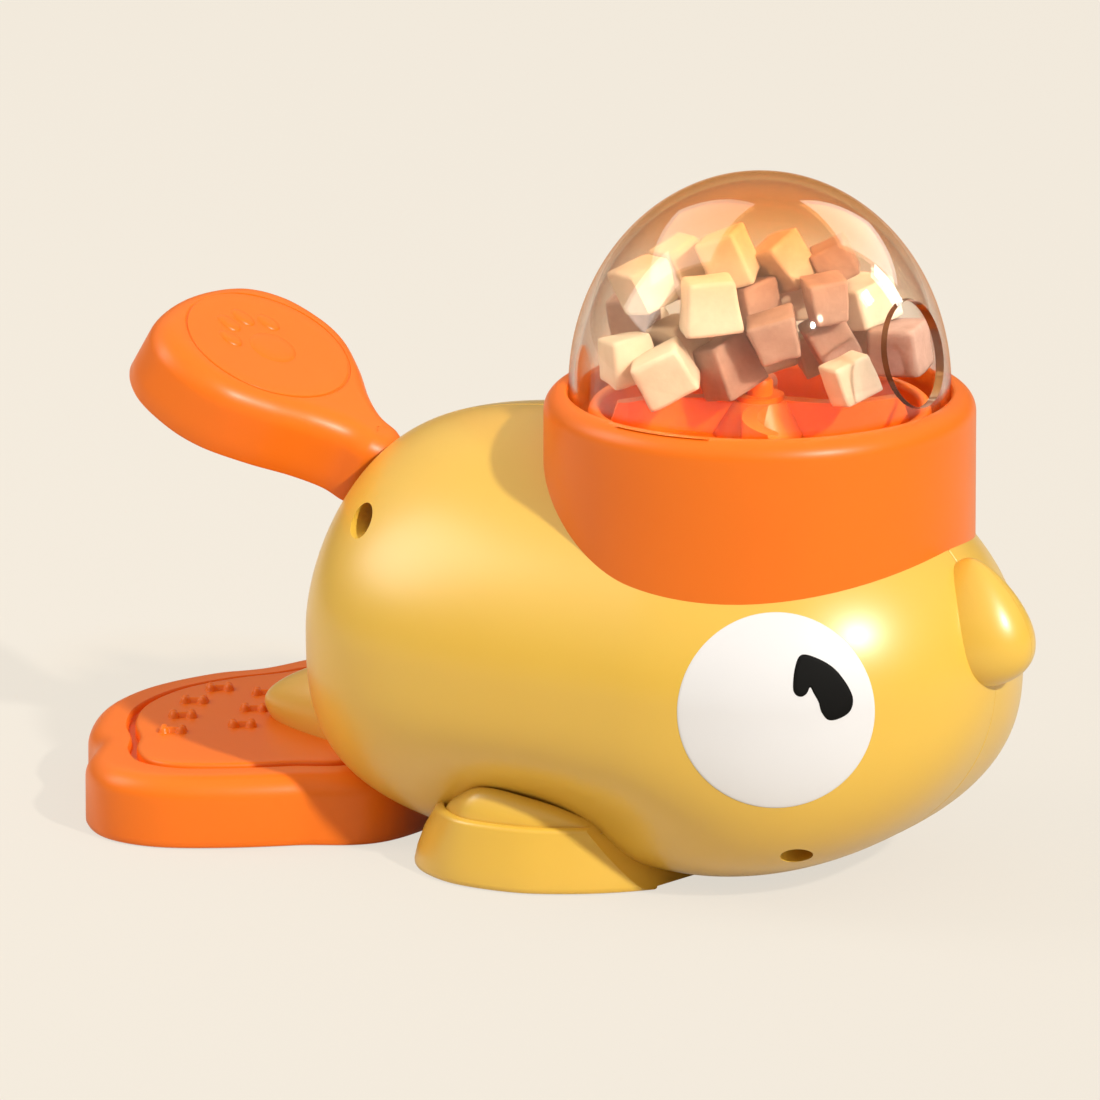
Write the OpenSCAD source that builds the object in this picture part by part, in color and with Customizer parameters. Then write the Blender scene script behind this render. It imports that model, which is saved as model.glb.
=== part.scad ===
// Treat dispensing toy: a duck whose rear paddle turns a bladed rotor under a clear dome.
// Frame: +X towards the beak, +Y to the duck's left, +Z up, Z = 0 on the floor, millimetres.

/* [Body] */
// Full width of the body at its widest section
body_w = 123; // [115:1:130]
// Height of the body's waist line above the floor
waist_z = 53.5; // [50:0.5:56]
// Height of the body above the waist line
crown_h = 54; // [51:0.5:57]
// Length of the body behind its widest section
rear_l = 104; // [100:1:108]
// Length of the body ahead of its widest section
front_l = 71; // [69:1:74]
// Thickness of the moulded shells
wall = 2.6; // [2:0.1:3]

/* [Hopper] */
// Distance of the hopper's axis ahead of the frame's origin
hopper_x = 53.2; // [52.2:0.5:54.2]
// Thickness of the collar's wall
collar_t = 5.6; // [5:0.2:7]
// Height of the collar's rim above the floor
rim_z = 117.5; // [116:0.5:119]
// Outer radius of the dome at its base
dome_r = 46; // [44:0.5:47]
// Height of the dome above its skirt
dome_h = 52; // [46:1:58]
// Radius of the round outlet hole in the dome
outlet_r = 13; // [9:0.5:14]
// Gap between the bladed rotor and the bowl's lip
rotor_gap = 3.3; // [2:0.1:6]

/* [Paddle] */
// Slope of the paddle at rest, in degrees
paddle_tilt = 28; // [26:1:30]
// Full width of the paddle's head
paddle_w = 59; // [50:1:64]
// Thickness of the paddle
paddle_t = 18; // [17:0.5:19]
// How far the paddle turns when pressed, in degrees
press = 28; // [20:1:28]

/* [Foot and wings] */
// Height of the floor foot
foot_h = 17.5; // [16:0.5:19]
// Radius of the rounding on the foot's top edge
foot_round = 5; // [3:0.5:6]
// Height of a wing's outer wall
wing_h = 16; // [14:0.5:17]

/* [Drive] */
// Gear module of the rack, the sector and the pinion
gear_m = 1.25; // [1.25:0.05:1.3]
// Pressure angle of the teeth, in degrees
tooth_angle = 25; // [24:1:26]
// Number of teeth on the rotor's pinion
pinion_teeth = 10; // [10:1:10]
// Number of teeth on the full circle of the lever's sector
sector_teeth = 32; // [32:1:32]
// Radius of the rotor's shaft
shaft_r = 3; // [2.5:0.5:3.5]
// Radius of the lever's pivot pin
pin_r = 2.5; // [2:0.5:2.5]

/* [Hidden] */
$fn = 96;
gap = 0.3;
run_fit = 0.05;
press_fit = 0.02;

// Body form: the half sections are superellipses, blunter below the waist and at the rear.
mid_x = hopper_x - 6;
rear_x = mid_x - rear_l;
nose_x = mid_x + front_l;
rear_p = 3.6;
front_p = 2;
crown_n = 1.8;
belly_n = 2.8;
belly_clear = 0.4;

// Lever pivot and gears
pivot_x = rear_x + 21.6;
pivot_z = 82;
sector_r = sector_teeth * gear_m / 2;
pinion_r = pinion_teeth * gear_m / 2;
tooth_up = 0.8 * gear_m;
tooth_down = gear_m;
backlash = 0.3;
tooth_pitch = PI * gear_m;
travel = sector_r * press * PI / 180;
rack_line_z = pivot_z - sector_r;
rack_root_z = rack_line_z - tooth_down;
rack_h = 7.75;
rack_z = rack_root_z - rack_h;
rack_y = -pinion_r - tooth_down;
rack_w = 7;
rail_z = rack_z - gap;
deck_z = rail_z - 3.5;
deck_t = 3;

// Hopper levels
bowl_z = rim_z - 13;
bowl_t = 2.4;
lip_t = 4;
lug_h = 3.5;
dome_wall = 2.2;
dome_foot_z = rim_z - 9.5;
dome_mid_z = rim_z + 1;
outlet_z = rim_z + 6.8;
outlet_tilt = 10;
throat_r = dome_r + 0.4;
collar_r = throat_r + collar_t;
sleeve_r = throat_r + 2.2;
opening_r = sleeve_r + 0.6;
shaft_top_z = rim_z - 3;
shaft_low_z = deck_z - 12;

// Paddle: places measured outward from the pivot along the paddle
head_p = 54.3;
tip_p = 76.8;
neck_w = 18;
neck_p = 12;
paddle_top = 2.5;
spring_x = pivot_x - 9;
spring_y = 5;
spring_r = 4;
spring_wire_r = 0.7;
spring_z = deck_z + deck_t;
spring_coils = 6;

// Screws, pins and bosses
screw_r = 1.5;
case_head_r = 3.6;
head_depth = 10;
boss_r = 5.6;
case_places = [[nose_x - 34.8, 14], [hopper_x - 45, 10.5]];
pivot_boss_y = 15;
pin_half_l = 24;
deck_posts = [[hopper_x - 52, 30], [hopper_x + 22, 30]];
sole_places = [[rear_x - 7, 32], [rear_x - 7, -32], [rear_x - 48, 0]];
bowl_screw_angles = [30, 150, 270];
paddle_screw_p = [34, 50];

// Eye disc
eye_r = 23.6;
eye_x = nose_x - 32;
eye_z = 53;
eye_turn = 30;
eye_shift = body_w * 0.41 * tan(eye_turn) * cos(eye_turn);

// Hopper details
rim_round = 5;
notch_a = 30;
lug_a = 24;
lip_r = dome_r - dome_wall - 4;
rotor_r = lip_r - 1.5 - rotor_gap;
lip_h = 9.5;
bush_r = 6;
bush_low_z = deck_z - 8;
hub_r = 6.5;
rotor_top = rim_z - 1.6;

// Lever and paddle details
slot_gap = 0.8;
lever_hub_r = 7;
sector_y = 8;
sector_t = 6;
hub_y = 8.5;
bar_w = 12;
bar_h = 9.5;
bar_low = -11.5;
spring_top_z = 71;
paddle_round = 5;
paddle_wall = 2.4;
panel_l = 40;
panel_w = 50;
panel_in = 1.2;
panel_gap = 0.6;
base_t = 2;
paddle_half = [[neck_p + 1.3, -5], [neck_p + 6, -8.7], [24, -9.8], [31, -14], [39, -21.5], [48, -28],
               [57, -paddle_w / 2], [67, -26.5], [74, -17]];
paddle_line = curve(concat(paddle_half, [[tip_p, 0]], flipped(backwards(paddle_half)), [[neck_p, 0]]), 4);

// Chassis details
guide_gap = 0.4;
keeper_x = hopper_x - 54;

// Outlines, as points that a closed curve runs through: the foot's from the body's rear end, the wing's
// from the hopper's axis and the body's side
foot_half = [[26, -28], [7, -46], [-9, -58], [-23, -64.5], [-36.5, -63.5], [-47.5, -54], [-54, -39],
             [-62, -29], [-68.5, -14]];
foot_ring = concat(flipped(foot_half), [[-70.4, 0]], backwards(foot_half));
foot_line = [for (p = curve(foot_ring, 4)) p + [rear_x, 0]];
tread_in = 11;
tread_z = foot_h - 2.6;
tread_top = foot_h + 0.7;
sole_t = 2;
bone_h = 0.9;
bones = [[-54, 10, 20], [-53, -9, 100], [-44, 24, 60], [-42, -25, 140], [-42, -2, 10], [-30, 42, 80],
         [-29, -42, 30], [-31, 15, 120], [-30, -16, 70], [-17, 30, 10], [-16, -32, 100], [-15, 46, 140]];
wing_nose_x = hopper_x - 3;
wing_y = body_w / 2 - 61.5;
wing_plan = [for (p = [[-69, -37], [-67, -47], [-53, -55.5], [-33, -56.5], [-17, -50], [-7, -40.5], [-6, -36],
                       [-27, -36], [-49, -36]]) p + [hopper_x, -wing_y]];
cap_plan = [for (p = [[-66, -40], [-64.5, -48], [-53, -54.5], [-35, -55.5], [-24, -52], [-20, -47.5],
                      [-27, -42], [-49, -40]]) p + [hopper_x, -wing_y]];

yellow = "#f2c33c";
orange = "#ee6a22";
steel = "#b9bcc0";
white = "#f6f4ee";

// Helpers

// Solid through a stack of closed rings with equal numbers of points, each turning left about the stack's
// direction.
module ring_stack(rings) {
    n = len(rings[0]);
    m = len(rings);
    points = concat([for (ring = rings) each ring], [mean(rings[0]), mean(rings[m - 1])]);
    polyhedron(points, [for (j = [0:n - 1]) let (k = (j + 1) % n) each concat(
        [[m * n, j, k], [m * n + 1, (m - 1) * n + k, (m - 1) * n + j]],
        [for (i = [0:m - 2]) each [[i * n + k, i * n + j, (i + 1) * n + j],
                                   [i * n + k, (i + 1) * n + j, (i + 1) * n + k]]])]);
}

function mean(ring) = [for (p = ring) 1] * ring / len(ring);

// Smooth closed curve through the given points, with some steps for each span.
function curve(p, steps) = let (n = len(p)) [for (i = [0:n - 1]) for (s = [0:steps - 1])
    let (a = p[(i + n - 1) % n], b = p[i], c = p[(i + 1) % n], d = p[(i + 2) % n], t = s / steps)
    0.5 * (2 * b + (c - a) * t + (2 * a - 5 * b + 4 * c - d) * t * t + (3 * b - a - 3 * c + d) * t * t * t)];

// The outline moved inwards by d, where the outline turns left
function inset(p, d) = let (n = len(p)) [for (i = [0:n - 1])
    let (v = p[(i + 1) % n] - p[(i + n - 1) % n]) p[i] + d / norm(v) * [-v[1], v[0]]];

function at_z(p, z) = [for (q = p) [q[0], q[1], z]];
function flipped(p) = [for (q = p) [q[0], -q[1]]];
function backwards(p) = [for (i = [len(p) - 1:-1:0]) p[i]];

// Body: scale of the section at x, and a point of the section at an angle from the waist line
function section(x, grow = 0) =
    let (d = x - mid_x, l = (d < 0 ? rear_l : front_l) + grow, p = d < 0 ? rear_p : front_p)
    pow(max(0.0001, 1 - pow(abs(d) / l, p)), 1 / p);
function body_point(x, a, grow = 0) = let (n = a < 0 ? belly_n : crown_n, c = cos(a), s = sin(a),
    r = pow(pow(abs(c), n) + pow(abs(s), n), -1 / n), g = section(x, grow),
    h = (a < 0 ? waist_z - belly_clear : crown_h) + grow)
    [x, (body_w / 2 + grow) * g * r * c, waist_z + h * g * r * s];
// Half width of the body at a place on its side
function side_y(x, z) =
    let (g = section(x), n = z < waist_z ? belly_n : crown_n, h = z < waist_z ? waist_z : crown_h)
    body_w / 2 * g * pow(max(0, 1 - pow(abs(z - waist_z) / (h * g), n)), 1 / n);

// One wedge of the body, from the waist line out to the skin, between two places and two angles
module body_block(x0, x1, a0, a1, grow, nx = 14, na = 14) {
    ring_stack([for (i = [0:nx]) let (x = x0 + (x1 - x0) * (1 - cos(180 * i / nx)) / 2)
        concat([[x, 0, waist_z]], [for (j = [0:na]) body_point(x, a0 + (a1 - a0) * j / na, grow)])]);
}

// Half of the solid body on the +Y side; the stations crowd towards the round ends.
module half_body(grow, nx = 16, na = 18) {
    rear = [for (i = [1:nx]) mid_x - (rear_l + grow) * pow(cos(90 * i / nx - 3), 2 / rear_p)];
    front = [for (i = [nx - 1:-1:1]) mid_x + (front_l + grow) * pow(cos(90 * i / nx - 4), 2 / front_p)];
    ring_stack([for (x = concat(rear, front)) [for (j = [0:na]) body_point(x, -90 + 180 * j / na, grow)]]);
}

// Involute gear outline with a tooth centred on the +X axis
function involute(r, base) = let (t = sqrt(max(0, r * r / base / base - 1))) t * 180 / PI - atan(t);
module gear_2d(teeth) {
    r = teeth * gear_m / 2;
    base = r * cos(tooth_angle);
    low = r - tooth_down;
    half = 90 / teeth - backlash / 2 / r * 90 / PI + involute(r, base);
    radii = [for (i = [0:5]) max(base, low) + (r + tooth_up - max(base, low)) * i / 5];
    flank = concat([[low, half]], [for (q = radii) [q, half - involute(q, base)]]);
    polygon([for (t = [0:teeth - 1]) each concat(
        [for (f = flank) f[0] * [cos(360 * t / teeth - f[1]), sin(360 * t / teeth - f[1])]],
        [for (f = backwards(flank)) f[0] * [cos(360 * t / teeth + f[1]), sin(360 * t / teeth + f[1])]])]);
}

// Row of rack teeth along +X with their pitch line on Y = 0; a gap is centred on X = 0.
module rack_teeth_2d(first, last) {
    half = tooth_pitch / 4 - backlash / 4;
    lean = tan(tooth_angle);
    for (i = [first:last]) {
        translate([(i + 0.5) * tooth_pitch, 0])
            polygon([[-half - (tooth_down + 0.2) * lean, -tooth_down - 0.2],
                     [half + (tooth_down + 0.2) * lean, -tooth_down - 0.2],
                     [half - tooth_up * lean, tooth_up], [-half + tooth_up * lean, tooth_up]]);
    }
}

module along_y(x, z, y0, y1, r) {
    translate([x, y0, z]) rotate([-90, 0, 0]) cylinder(h = y1 - y0, r = r);
}

module ring_tube(z0, z1, r_in, r_out) {
    translate([hopper_x, 0, z0]) rotate_extrude() translate([r_in, 0]) square([r_out - r_in, z1 - z0]);
}

module ellipsoid(size, rings = 10, sides = 20) {
    ring_stack([for (i = [0:rings]) let (a = -88 + 176 * i / rings) [for (j = [0:sides - 1])
        let (b = 360 * j / sides) [size[0] * cos(a) * cos(b), size[1] * cos(a) * sin(b), size[2] * sin(a)]]]);
}

// Body shells

module beak() {
    translate([nose_x - 6, 0, 67.5]) rotate([0, 12, 0]) ellipsoid([15, 10.8, 16]);
}

module tail() {
    translate([rear_x - 2, 0, 21]) ellipsoid([26, 15, 13]);
}

// Everything on the +Y side of the shell before holes; the right shell is its mirror image.
module shell_half() {
    difference() {
        union() {
            difference() {
                half_body(0);
                half_body(-wall);
            }
            intersection() {
                union() {
                    beak();
                    tail();
                }
                translate([-200, 0, foot_h + 1.5]) cube([400, 30, 100]);
            }
            intersection() {
                half_body(-wall / 2, 12, 12);
                union() {
                    for (s = case_places) along_y(s[0], s[1], 0, body_w / 2, boss_r);
                    along_y(pivot_x, pivot_z, pivot_boss_y, body_w / 2, boss_r);
                    for (d = deck_posts) translate([d[0], d[1], 0]) cylinder(h = deck_z, r = 4.5);
                }
            }
        }
        translate([hopper_x, 0, waist_z]) cylinder(h = 100, r = opening_r);
        for (d = deck_posts) translate([d[0], d[1], 12]) cylinder(h = deck_z, r = screw_r + press_fit);
        lever_slot();
        along_y(pivot_x, pivot_z, 0, pin_half_l + 0.2, pin_r + press_fit);
    }
}

// Room for the paddle's neck through its whole swing
module lever_slot() {
    translate([pivot_x, 0, pivot_z]) for (a = [1, -press / 2, -press - 1])
        rotate([0, paddle_tilt + a, 0])
            translate([-45, -neck_w / 2 - slot_gap, paddle_top - paddle_t - slot_gap])
                cube([33, neck_w + 2 * slot_gap, paddle_t + 2 * slot_gap]);
}

module body_shell_right() {
    color(yellow) difference() {
        mirror([0, 1, 0]) shell_half();
        for (s = case_places) {
            along_y(s[0], s[1], -head_depth - 1, 1, screw_r + 0.2);
            along_y(s[0], s[1], -body_w, -head_depth, case_head_r);
        }
        along_y(pivot_x, pivot_z, -body_w, -pin_half_l, case_head_r);
    }
}

module body_shell_left() {
    color(yellow) difference() {
        shell_half();
        for (s = case_places) along_y(s[0], s[1], -1, head_depth + 6.2, screw_r + press_fit);
    }
}

module eye_right() {
    color(white) mirror([0, 1, 0]) eye_left();
}

module eye_left() {
    color(white) difference() {
        intersection() {
            body_block(eye_x - eye_r - 8, nose_x - 3, -85, 85, 0.75, 16, 20);
            translate([eye_x, 0, eye_z]) rotate([0, 0, -eye_turn]) rotate([-90, 0, 0])
                translate([-eye_shift, 0, 20]) cylinder(h = 60, r = eye_r);
        }
        body_block(eye_x - eye_r - 10, nose_x - 2, -88, 88, 0.3, 16, 20);
        translate([hopper_x, 0, waist_z + 4]) cylinder(h = 80, r = collar_r + gap);
    }
}

module case_screws() {
    color(steel) for (s = case_places) {
        along_y(s[0], s[1], -head_depth - 2.2, -head_depth, case_head_r - 0.4);
        along_y(s[0], s[1], -head_depth - 0.1, head_depth + 6, screw_r);
    }
}

module pivot_pin() {
    color(steel) {
        along_y(pivot_x, pivot_z, -pin_half_l - 2, -pin_half_l, case_head_r - 0.4);
        along_y(pivot_x, pivot_z, -pin_half_l - 0.1, pin_half_l, pin_r);
    }
}

// Wings

module wing_left() {
    color(yellow) mirror([0, 1, 0]) wing_right();
}

module wing_right() {
    color(yellow) difference() {
        linear_extrude(wing_h) polygon(curve(wing_plan, 6));
        translate([0, 100, 0]) rotate([90, 0, 0]) linear_extrude(200)
            polygon([[wing_nose_x - wing_h, wing_h + 0.1], [wing_nose_x, 2], [wing_nose_x + 20, 2],
                     [wing_nose_x + 20, wing_h + 0.1]]);
        mirror([0, 1, 0]) body_block(wing_plan[0][0] - 8, wing_nose_x + 6, -90, 0, gap);
    }
}

module wing_cap_left() {
    color(yellow) mirror([0, 1, 0]) wing_cap_right();
}

module wing_cap_right() {
    p = curve(cap_plan, 5);
    color(yellow) difference() {
        ring_stack([at_z(inset(p, 1), wing_h), at_z(inset(p, 0.6), wing_h + 0.8), at_z(p, wing_h + 1.6),
                    at_z(inset(p, 0.7), wing_h + 4), at_z(inset(p, 2.2), wing_h + 6),
                    at_z(inset(p, 4.5), wing_h + 7.2)]);
        mirror([0, 1, 0]) body_block(wing_plan[0][0] - 8, wing_nose_x + 6, -90, 0, gap);
    }
}

// Floor foot

module clear_of_body() {
    difference() {
        children();
        body_block(rear_x + 0.1, rear_x + 41, -180, 0, gap, 12, 24);
    }
}

module foot() {
    top = [for (a = [0:22.5:90]) at_z(inset(foot_line, foot_round * (1 - cos(a))),
                                      foot_h - foot_round * (1 - sin(a)))];
    color(orange) difference() {
        clear_of_body() union() {
            ring_stack(concat(
                [at_z(inset(foot_line, wall), tread_z - wall), at_z(inset(foot_line, wall), 0),
                 at_z(inset(foot_line, 1), 0), at_z(foot_line, 1)],
                top,
                [at_z(inset(foot_line, tread_in), foot_h), at_z(inset(foot_line, tread_in), tread_z)]));
            for (s = sole_places) translate([s[0], s[1], sole_t]) cylinder(h = tread_z - sole_t - 1, r = 4);
        }
        for (s = sole_places) translate([s[0], s[1], 0]) cylinder(h = 9, r = screw_r + press_fit);
    }
}

module foot_tread() {
    p = inset(foot_line, tread_in + 1.2);
    color(orange) clear_of_body() ring_stack([at_z(p, tread_z), at_z(p, foot_h - 0.4),
        at_z(inset(p, 0.4), foot_h + 0.3), at_z(inset(p, 1.2), tread_top)]);
}

// One bone-shaped grip bump, along X
module bone_2d() {
    square([4.6, 1.8], center = true);
    for (x = [-2, 2]) for (y = [-0.8, 0.8]) translate([x, y]) circle(r = 1.15);
}

module foot_bones() {
    color(orange) for (b = bones) translate([rear_x + b[0], b[1], tread_top]) rotate([0, 0, b[2]])
        linear_extrude(bone_h) bone_2d();
}

module foot_sole() {
    color(orange) difference() {
        clear_of_body() linear_extrude(sole_t) polygon(inset(foot_line, wall + gap));
        for (s = sole_places) {
            translate([s[0], s[1], -1]) cylinder(h = 5, r = screw_r + 0.2);
            translate([s[0], s[1], -1]) cylinder(h = 2.2, r = 3);
        }
    }
}

module foot_screws() {
    color(steel) for (s = sole_places) translate([s[0], s[1], 0]) {
        translate([0, 0, 0.2]) cylinder(h = 1, r = 2.7);
        translate([0, 0, 1]) cylinder(h = 7.8, r = screw_r);
    }
}

// Hopper

module collar() {
    color(orange) difference() {
        union() {
            difference() {
                translate([hopper_x, 0, 0]) rotate_extrude() collar_profile();
                body_block(hopper_x - collar_r - 12, nose_x - 0.3, 0, 180, gap, 22, 28);
            }
            ring_tube(rim_z - 26, rim_z - 10, throat_r, sleeve_r);
            ring_tube(rim_z - 20, bowl_z - bowl_t, throat_r - 6, throat_r + 0.2);
        }
        ring_tube(rim_z - lip_t - lug_h - 1.2, rim_z - lip_t, throat_r - 1, throat_r + 2.2);
        for (a = [90, 270]) translate([hopper_x, 0, rim_z - lip_t - 1]) rotate([0, 0, a - notch_a / 2])
            rotate_extrude(angle = notch_a) translate([throat_r - 1, 0]) square([3.2, lip_t + 2]);
        for (a = bowl_screw_angles) translate([hopper_x, 0, 0]) rotate([0, 0, a])
            translate([throat_r - 2.6, 0, rim_z - 30]) cylinder(h = 20, r = screw_r + press_fit);
    }
}

// Wall of the collar with its rounded rim
module collar_profile() {
    difference() {
        translate([throat_r, waist_z]) square([collar_r - throat_r, rim_z - waist_z]);
        translate([collar_r - rim_round, rim_z - rim_round]) difference() {
            square([rim_round + 1, rim_round + 1]);
            circle(r = rim_round);
        }
    }
}

module bowl() {
    color(orange) difference() {
        union() {
            ring_tube(bowl_z - bowl_t, bowl_z, 0.001, throat_r - gap);
            translate([hopper_x, 0, bowl_z - 1]) rotate_extrude() bowl_lip_profile();
        }
        translate([hopper_x, 0, bowl_z - 10]) cylinder(h = 20, r = bush_r + press_fit);
        for (a = bowl_screw_angles) translate([hopper_x, 0, 0]) rotate([0, 0, a])
            translate([throat_r - 2.6, 0, bowl_z - 5]) cylinder(h = 10, r = screw_r + 0.2);
    }
}

module bowl_lip_profile() {
    translate([lip_r - 1.5, 0]) square([3, lip_h]);
    translate([lip_r, lip_h]) circle(r = 1.5);
}

module bowl_screws() {
    color(steel) for (a = bowl_screw_angles) translate([hopper_x, 0, 0]) rotate([0, 0, a])
        translate([throat_r - 2.6, 0, bowl_z]) {
            cylinder(h = 1.6, r = 2);
            translate([0, 0, -7]) cylinder(h = 7.1, r = screw_r);
        }
}

module flanged_bush(z0, z1, flange_z) {
    translate([hopper_x, 0, 0]) difference() {
        union() {
            translate([0, 0, z0]) cylinder(h = z1 - z0, r = bush_r);
            translate([0, 0, flange_z]) cylinder(h = 1.6, r = bush_r + 2.5);
        }
        translate([0, 0, z0 - 1]) cylinder(h = z1 - z0 + 2, r = shaft_r + run_fit);
    }
}

module bowl_bush() {
    color(white) flanged_bush(bowl_z - bowl_t - 5, bowl_z, bowl_z - bowl_t - 1.6);
}

module dome() {
    steps = 28;
    color("#c98a3c", 0.5) difference() {
        union() {
            translate([hopper_x, 0, 0]) rotate_extrude() polygon(concat(
                [for (i = [0:steps]) dome_point(90 * i / steps, 0)],
                [for (i = [steps:-1:0]) dome_point(90 * i / steps, dome_wall)],
                [[dome_r - dome_wall, dome_foot_z], [dome_r, dome_foot_z]]));
            for (a = [90, 270]) translate([hopper_x, 0, rim_z - lip_t - lug_h - 0.5])
                rotate([0, 0, a + notch_a + 14 - lug_a / 2]) rotate_extrude(angle = lug_a)
                    translate([dome_r - 1, 0]) square([2.8, lug_h]);
        }
        translate([hopper_x, 0, outlet_z]) rotate([0, 90 - outlet_tilt, 0]) cylinder(h = 80, r = outlet_r);
    }
}

function dome_point(a, inner) = [(dome_r - inner) * cos(a), dome_mid_z + (dome_h - inner) * sin(a)];

// Rotor and its drive

// One leaf-shaped blade that stands on the disc and points along +X
module blade() {
    intersection() {
        linear_extrude(rotor_top - bowl_z - 1) difference() {
            translate([rotor_r / 2, 22]) circle(r = 26.5);
            translate([rotor_r / 2, 22.6]) circle(r = 23.4);
            translate([-100, -50]) square(100);
            translate([0, 4]) square(100);
        }
        cylinder(h = 30, r1 = rotor_r + 3, r2 = rotor_r - 8);
    }
}

module rotor() {
    color(orange) difference() {
        translate([hopper_x, 0, bowl_z + 0.4]) union() {
            cylinder(h = 2, r = rotor_r);
            cylinder(h = rotor_top - bowl_z - 1, r1 = 12, r2 = hub_r);
            for (a = [0:90:270]) rotate([0, 0, a + 30]) blade();
        }
        translate([hopper_x, 0, bowl_z - 1]) cylinder(h = shaft_top_z - bowl_z + 1, r = shaft_r + press_fit);
    }
}

module rotor_knob() {
    color(orange) translate([hopper_x, 0, rotor_top - 0.6]) {
        cylinder(h = 1.2, r = hub_r - 0.6);
        cylinder(h = 3.4, r = 3.2);
        translate([0, 0, 3.4]) intersection() {
            sphere(r = 3.2);
            translate([0, 0, -1]) cylinder(h = 2.6, r = 4);
        }
    }
}

module rotor_shaft() {
    color(steel) translate([hopper_x, 0, shaft_low_z]) cylinder(h = shaft_top_z - shaft_low_z, r = shaft_r);
}

module pinion() {
    color(white) translate([hopper_x, 0, rack_z + gap]) difference() {
        linear_extrude(rack_h - gap) rotate(-90) gear_2d(pinion_teeth);
        translate([0, 0, -1]) cylinder(h = 20, r = shaft_r + press_fit);
    }
}

module shaft_ring() {
    color(steel) ring_tube(bush_low_z - gap - 1.2, bush_low_z - gap, shaft_r + press_fit, shaft_r + 2.4);
}

module chassis() {
    x0 = spring_x - 6;
    x1 = hopper_x + 30;
    near = rack_y - rack_w - guide_gap;
    color("#d9d6cc") difference() {
        union() {
            translate([x0, near - 2.6, deck_z]) cube([x1 - x0, 14 - near + 2.6, deck_t]);
            for (d = deck_posts) translate([d[0] - 7, -d[1] - 6, deck_z]) cube([14, 2 * d[1] + 12, deck_t]);
            translate([x0 + 2, rack_y - rack_w, deck_z]) cube([x1 - x0 - 4, rack_w, rail_z - deck_z]);
            translate([x0 + 2, near - 2.6, deck_z]) cube([x1 - x0 - 4, 2.6, rack_root_z - 0.6 - deck_z]);
            translate([keeper_x, rack_y + guide_gap, deck_z]) cube([30, 2.6, rack_root_z - 0.6 - deck_z]);
            translate([keeper_x + 8, near - 2.6, rack_root_z - 0.7 - 4]) difference() {
                cube([10, rack_w + 2 * guide_gap + 5.2, 4 + 0.7 + gap + 2.2]);
                translate([-1, 2.6, -1]) cube([12, rack_w + 2 * guide_gap, 4 + 1.7 + gap]);
            }
            translate([hopper_x, 0, bush_low_z + 2]) cylinder(h = deck_z - bush_low_z - 1, r = bush_r + 3);
            translate([spring_x, spring_y, deck_z + deck_t - 0.1])
                cylinder(h = 5, r = spring_r - spring_wire_r - 0.5);
        }
        translate([hopper_x, 0, bush_low_z - 2]) cylinder(h = 40, r = bush_r + press_fit);
        for (d = deck_posts) for (y = [-d[1], d[1]]) translate([d[0], y, deck_z - 1])
            cylinder(h = 8, r = screw_r + 0.2);
    }
}

module chassis_bush() {
    color(white) flanged_bush(bush_low_z, deck_z + deck_t - 0.6, bush_low_z);
}

module chassis_screws() {
    color(steel) for (d = deck_posts) for (y = [-d[1], d[1]]) translate([d[0], y, deck_z + deck_t]) {
        cylinder(h = 2, r = 3);
        translate([0, 0, -14]) cylinder(h = 14.1, r = screw_r);
    }
}

module rack() {
    x0 = pivot_x - travel - 7;
    x1 = hopper_x + 8;
    color(white) {
        translate([x0, rack_y - rack_w, rack_z]) cube([x1 - x0, rack_w, rack_h]);
        translate([pivot_x, rack_y - rack_w, rack_line_z]) rotate([90, 0, 0]) mirror([0, 0, 1])
            linear_extrude(rack_w) rack_teeth_2d(-4, 1);
        translate([hopper_x, rack_y + tooth_down, rack_z]) linear_extrude(rack_h) rack_teeth_2d(-4, 1);
    }
}

// Paddle and lever

module on_lever() {
    translate([pivot_x, 0, pivot_z]) rotate([0, paddle_tilt, 0]) rotate([0, 0, 180]) children();
}

module lever() {
    color("#d9d6cc") difference() {
        union() {
            along_y(pivot_x, pivot_z, -sector_y - sector_t, hub_y, lever_hub_r);
            translate([pivot_x, -sector_y, pivot_z]) rotate([90, 0, 0]) linear_extrude(sector_t) {
                intersection() {
                    rotate(-90) gear_2d(sector_teeth);
                    polygon([[0, 4], 30 * [cos(-136), sin(-136)], 36 * [cos(-104), sin(-104)],
                             30 * [cos(-72), sin(-72)]]);
                }
            }
            on_lever() translate([0, -bar_w / 2, bar_low]) cube([head_p + 6, bar_w, bar_h]);
            translate([spring_x, spring_y, spring_top_z]) cylinder(h = 5, r = spring_r + 1);
        }
        along_y(pivot_x, pivot_z, -40, 40, pin_r + run_fit);
        on_lever() for (p = paddle_screw_p) translate([p, 0, bar_low - 1])
            cylinder(h = 7, r = screw_r + press_fit);
    }
}

module paddle() {
    low = paddle_top - paddle_t;
    top = [for (a = [0:22.5:90]) at_z(inset(paddle_line, paddle_round * (1 - cos(a))),
                                      paddle_top - paddle_round * (1 - sin(a)))];
    color(orange) on_lever() difference() {
        ring_stack(concat(
            [at_z(inset(paddle_line, paddle_wall), paddle_top - panel_in - paddle_wall),
             at_z(inset(paddle_line, paddle_wall), low), at_z(inset(paddle_line, 1), low),
             at_z(paddle_line, low + 1)], top));
        translate([head_p, 0, paddle_top - panel_in]) linear_extrude(5) panel_2d(panel_gap);
        translate([neck_p - 4, -bar_w / 2 - gap, bar_low - gap]) cube([12, bar_w + 2 * gap, bar_h + 2 * gap]);
    }
}

// Oval of the inset panel, grown by a margin
module panel_2d(grow) {
    polygon([for (a = [0:6:354]) [(panel_l / 2 + grow) * cos(a), (panel_w / 2 + grow) * sin(a)]]);
}

module paddle_panel() {
    color(orange) on_lever() translate([head_p, 0, paddle_top - panel_in])
        linear_extrude(panel_in + 0.4) panel_2d(0);
}

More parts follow.
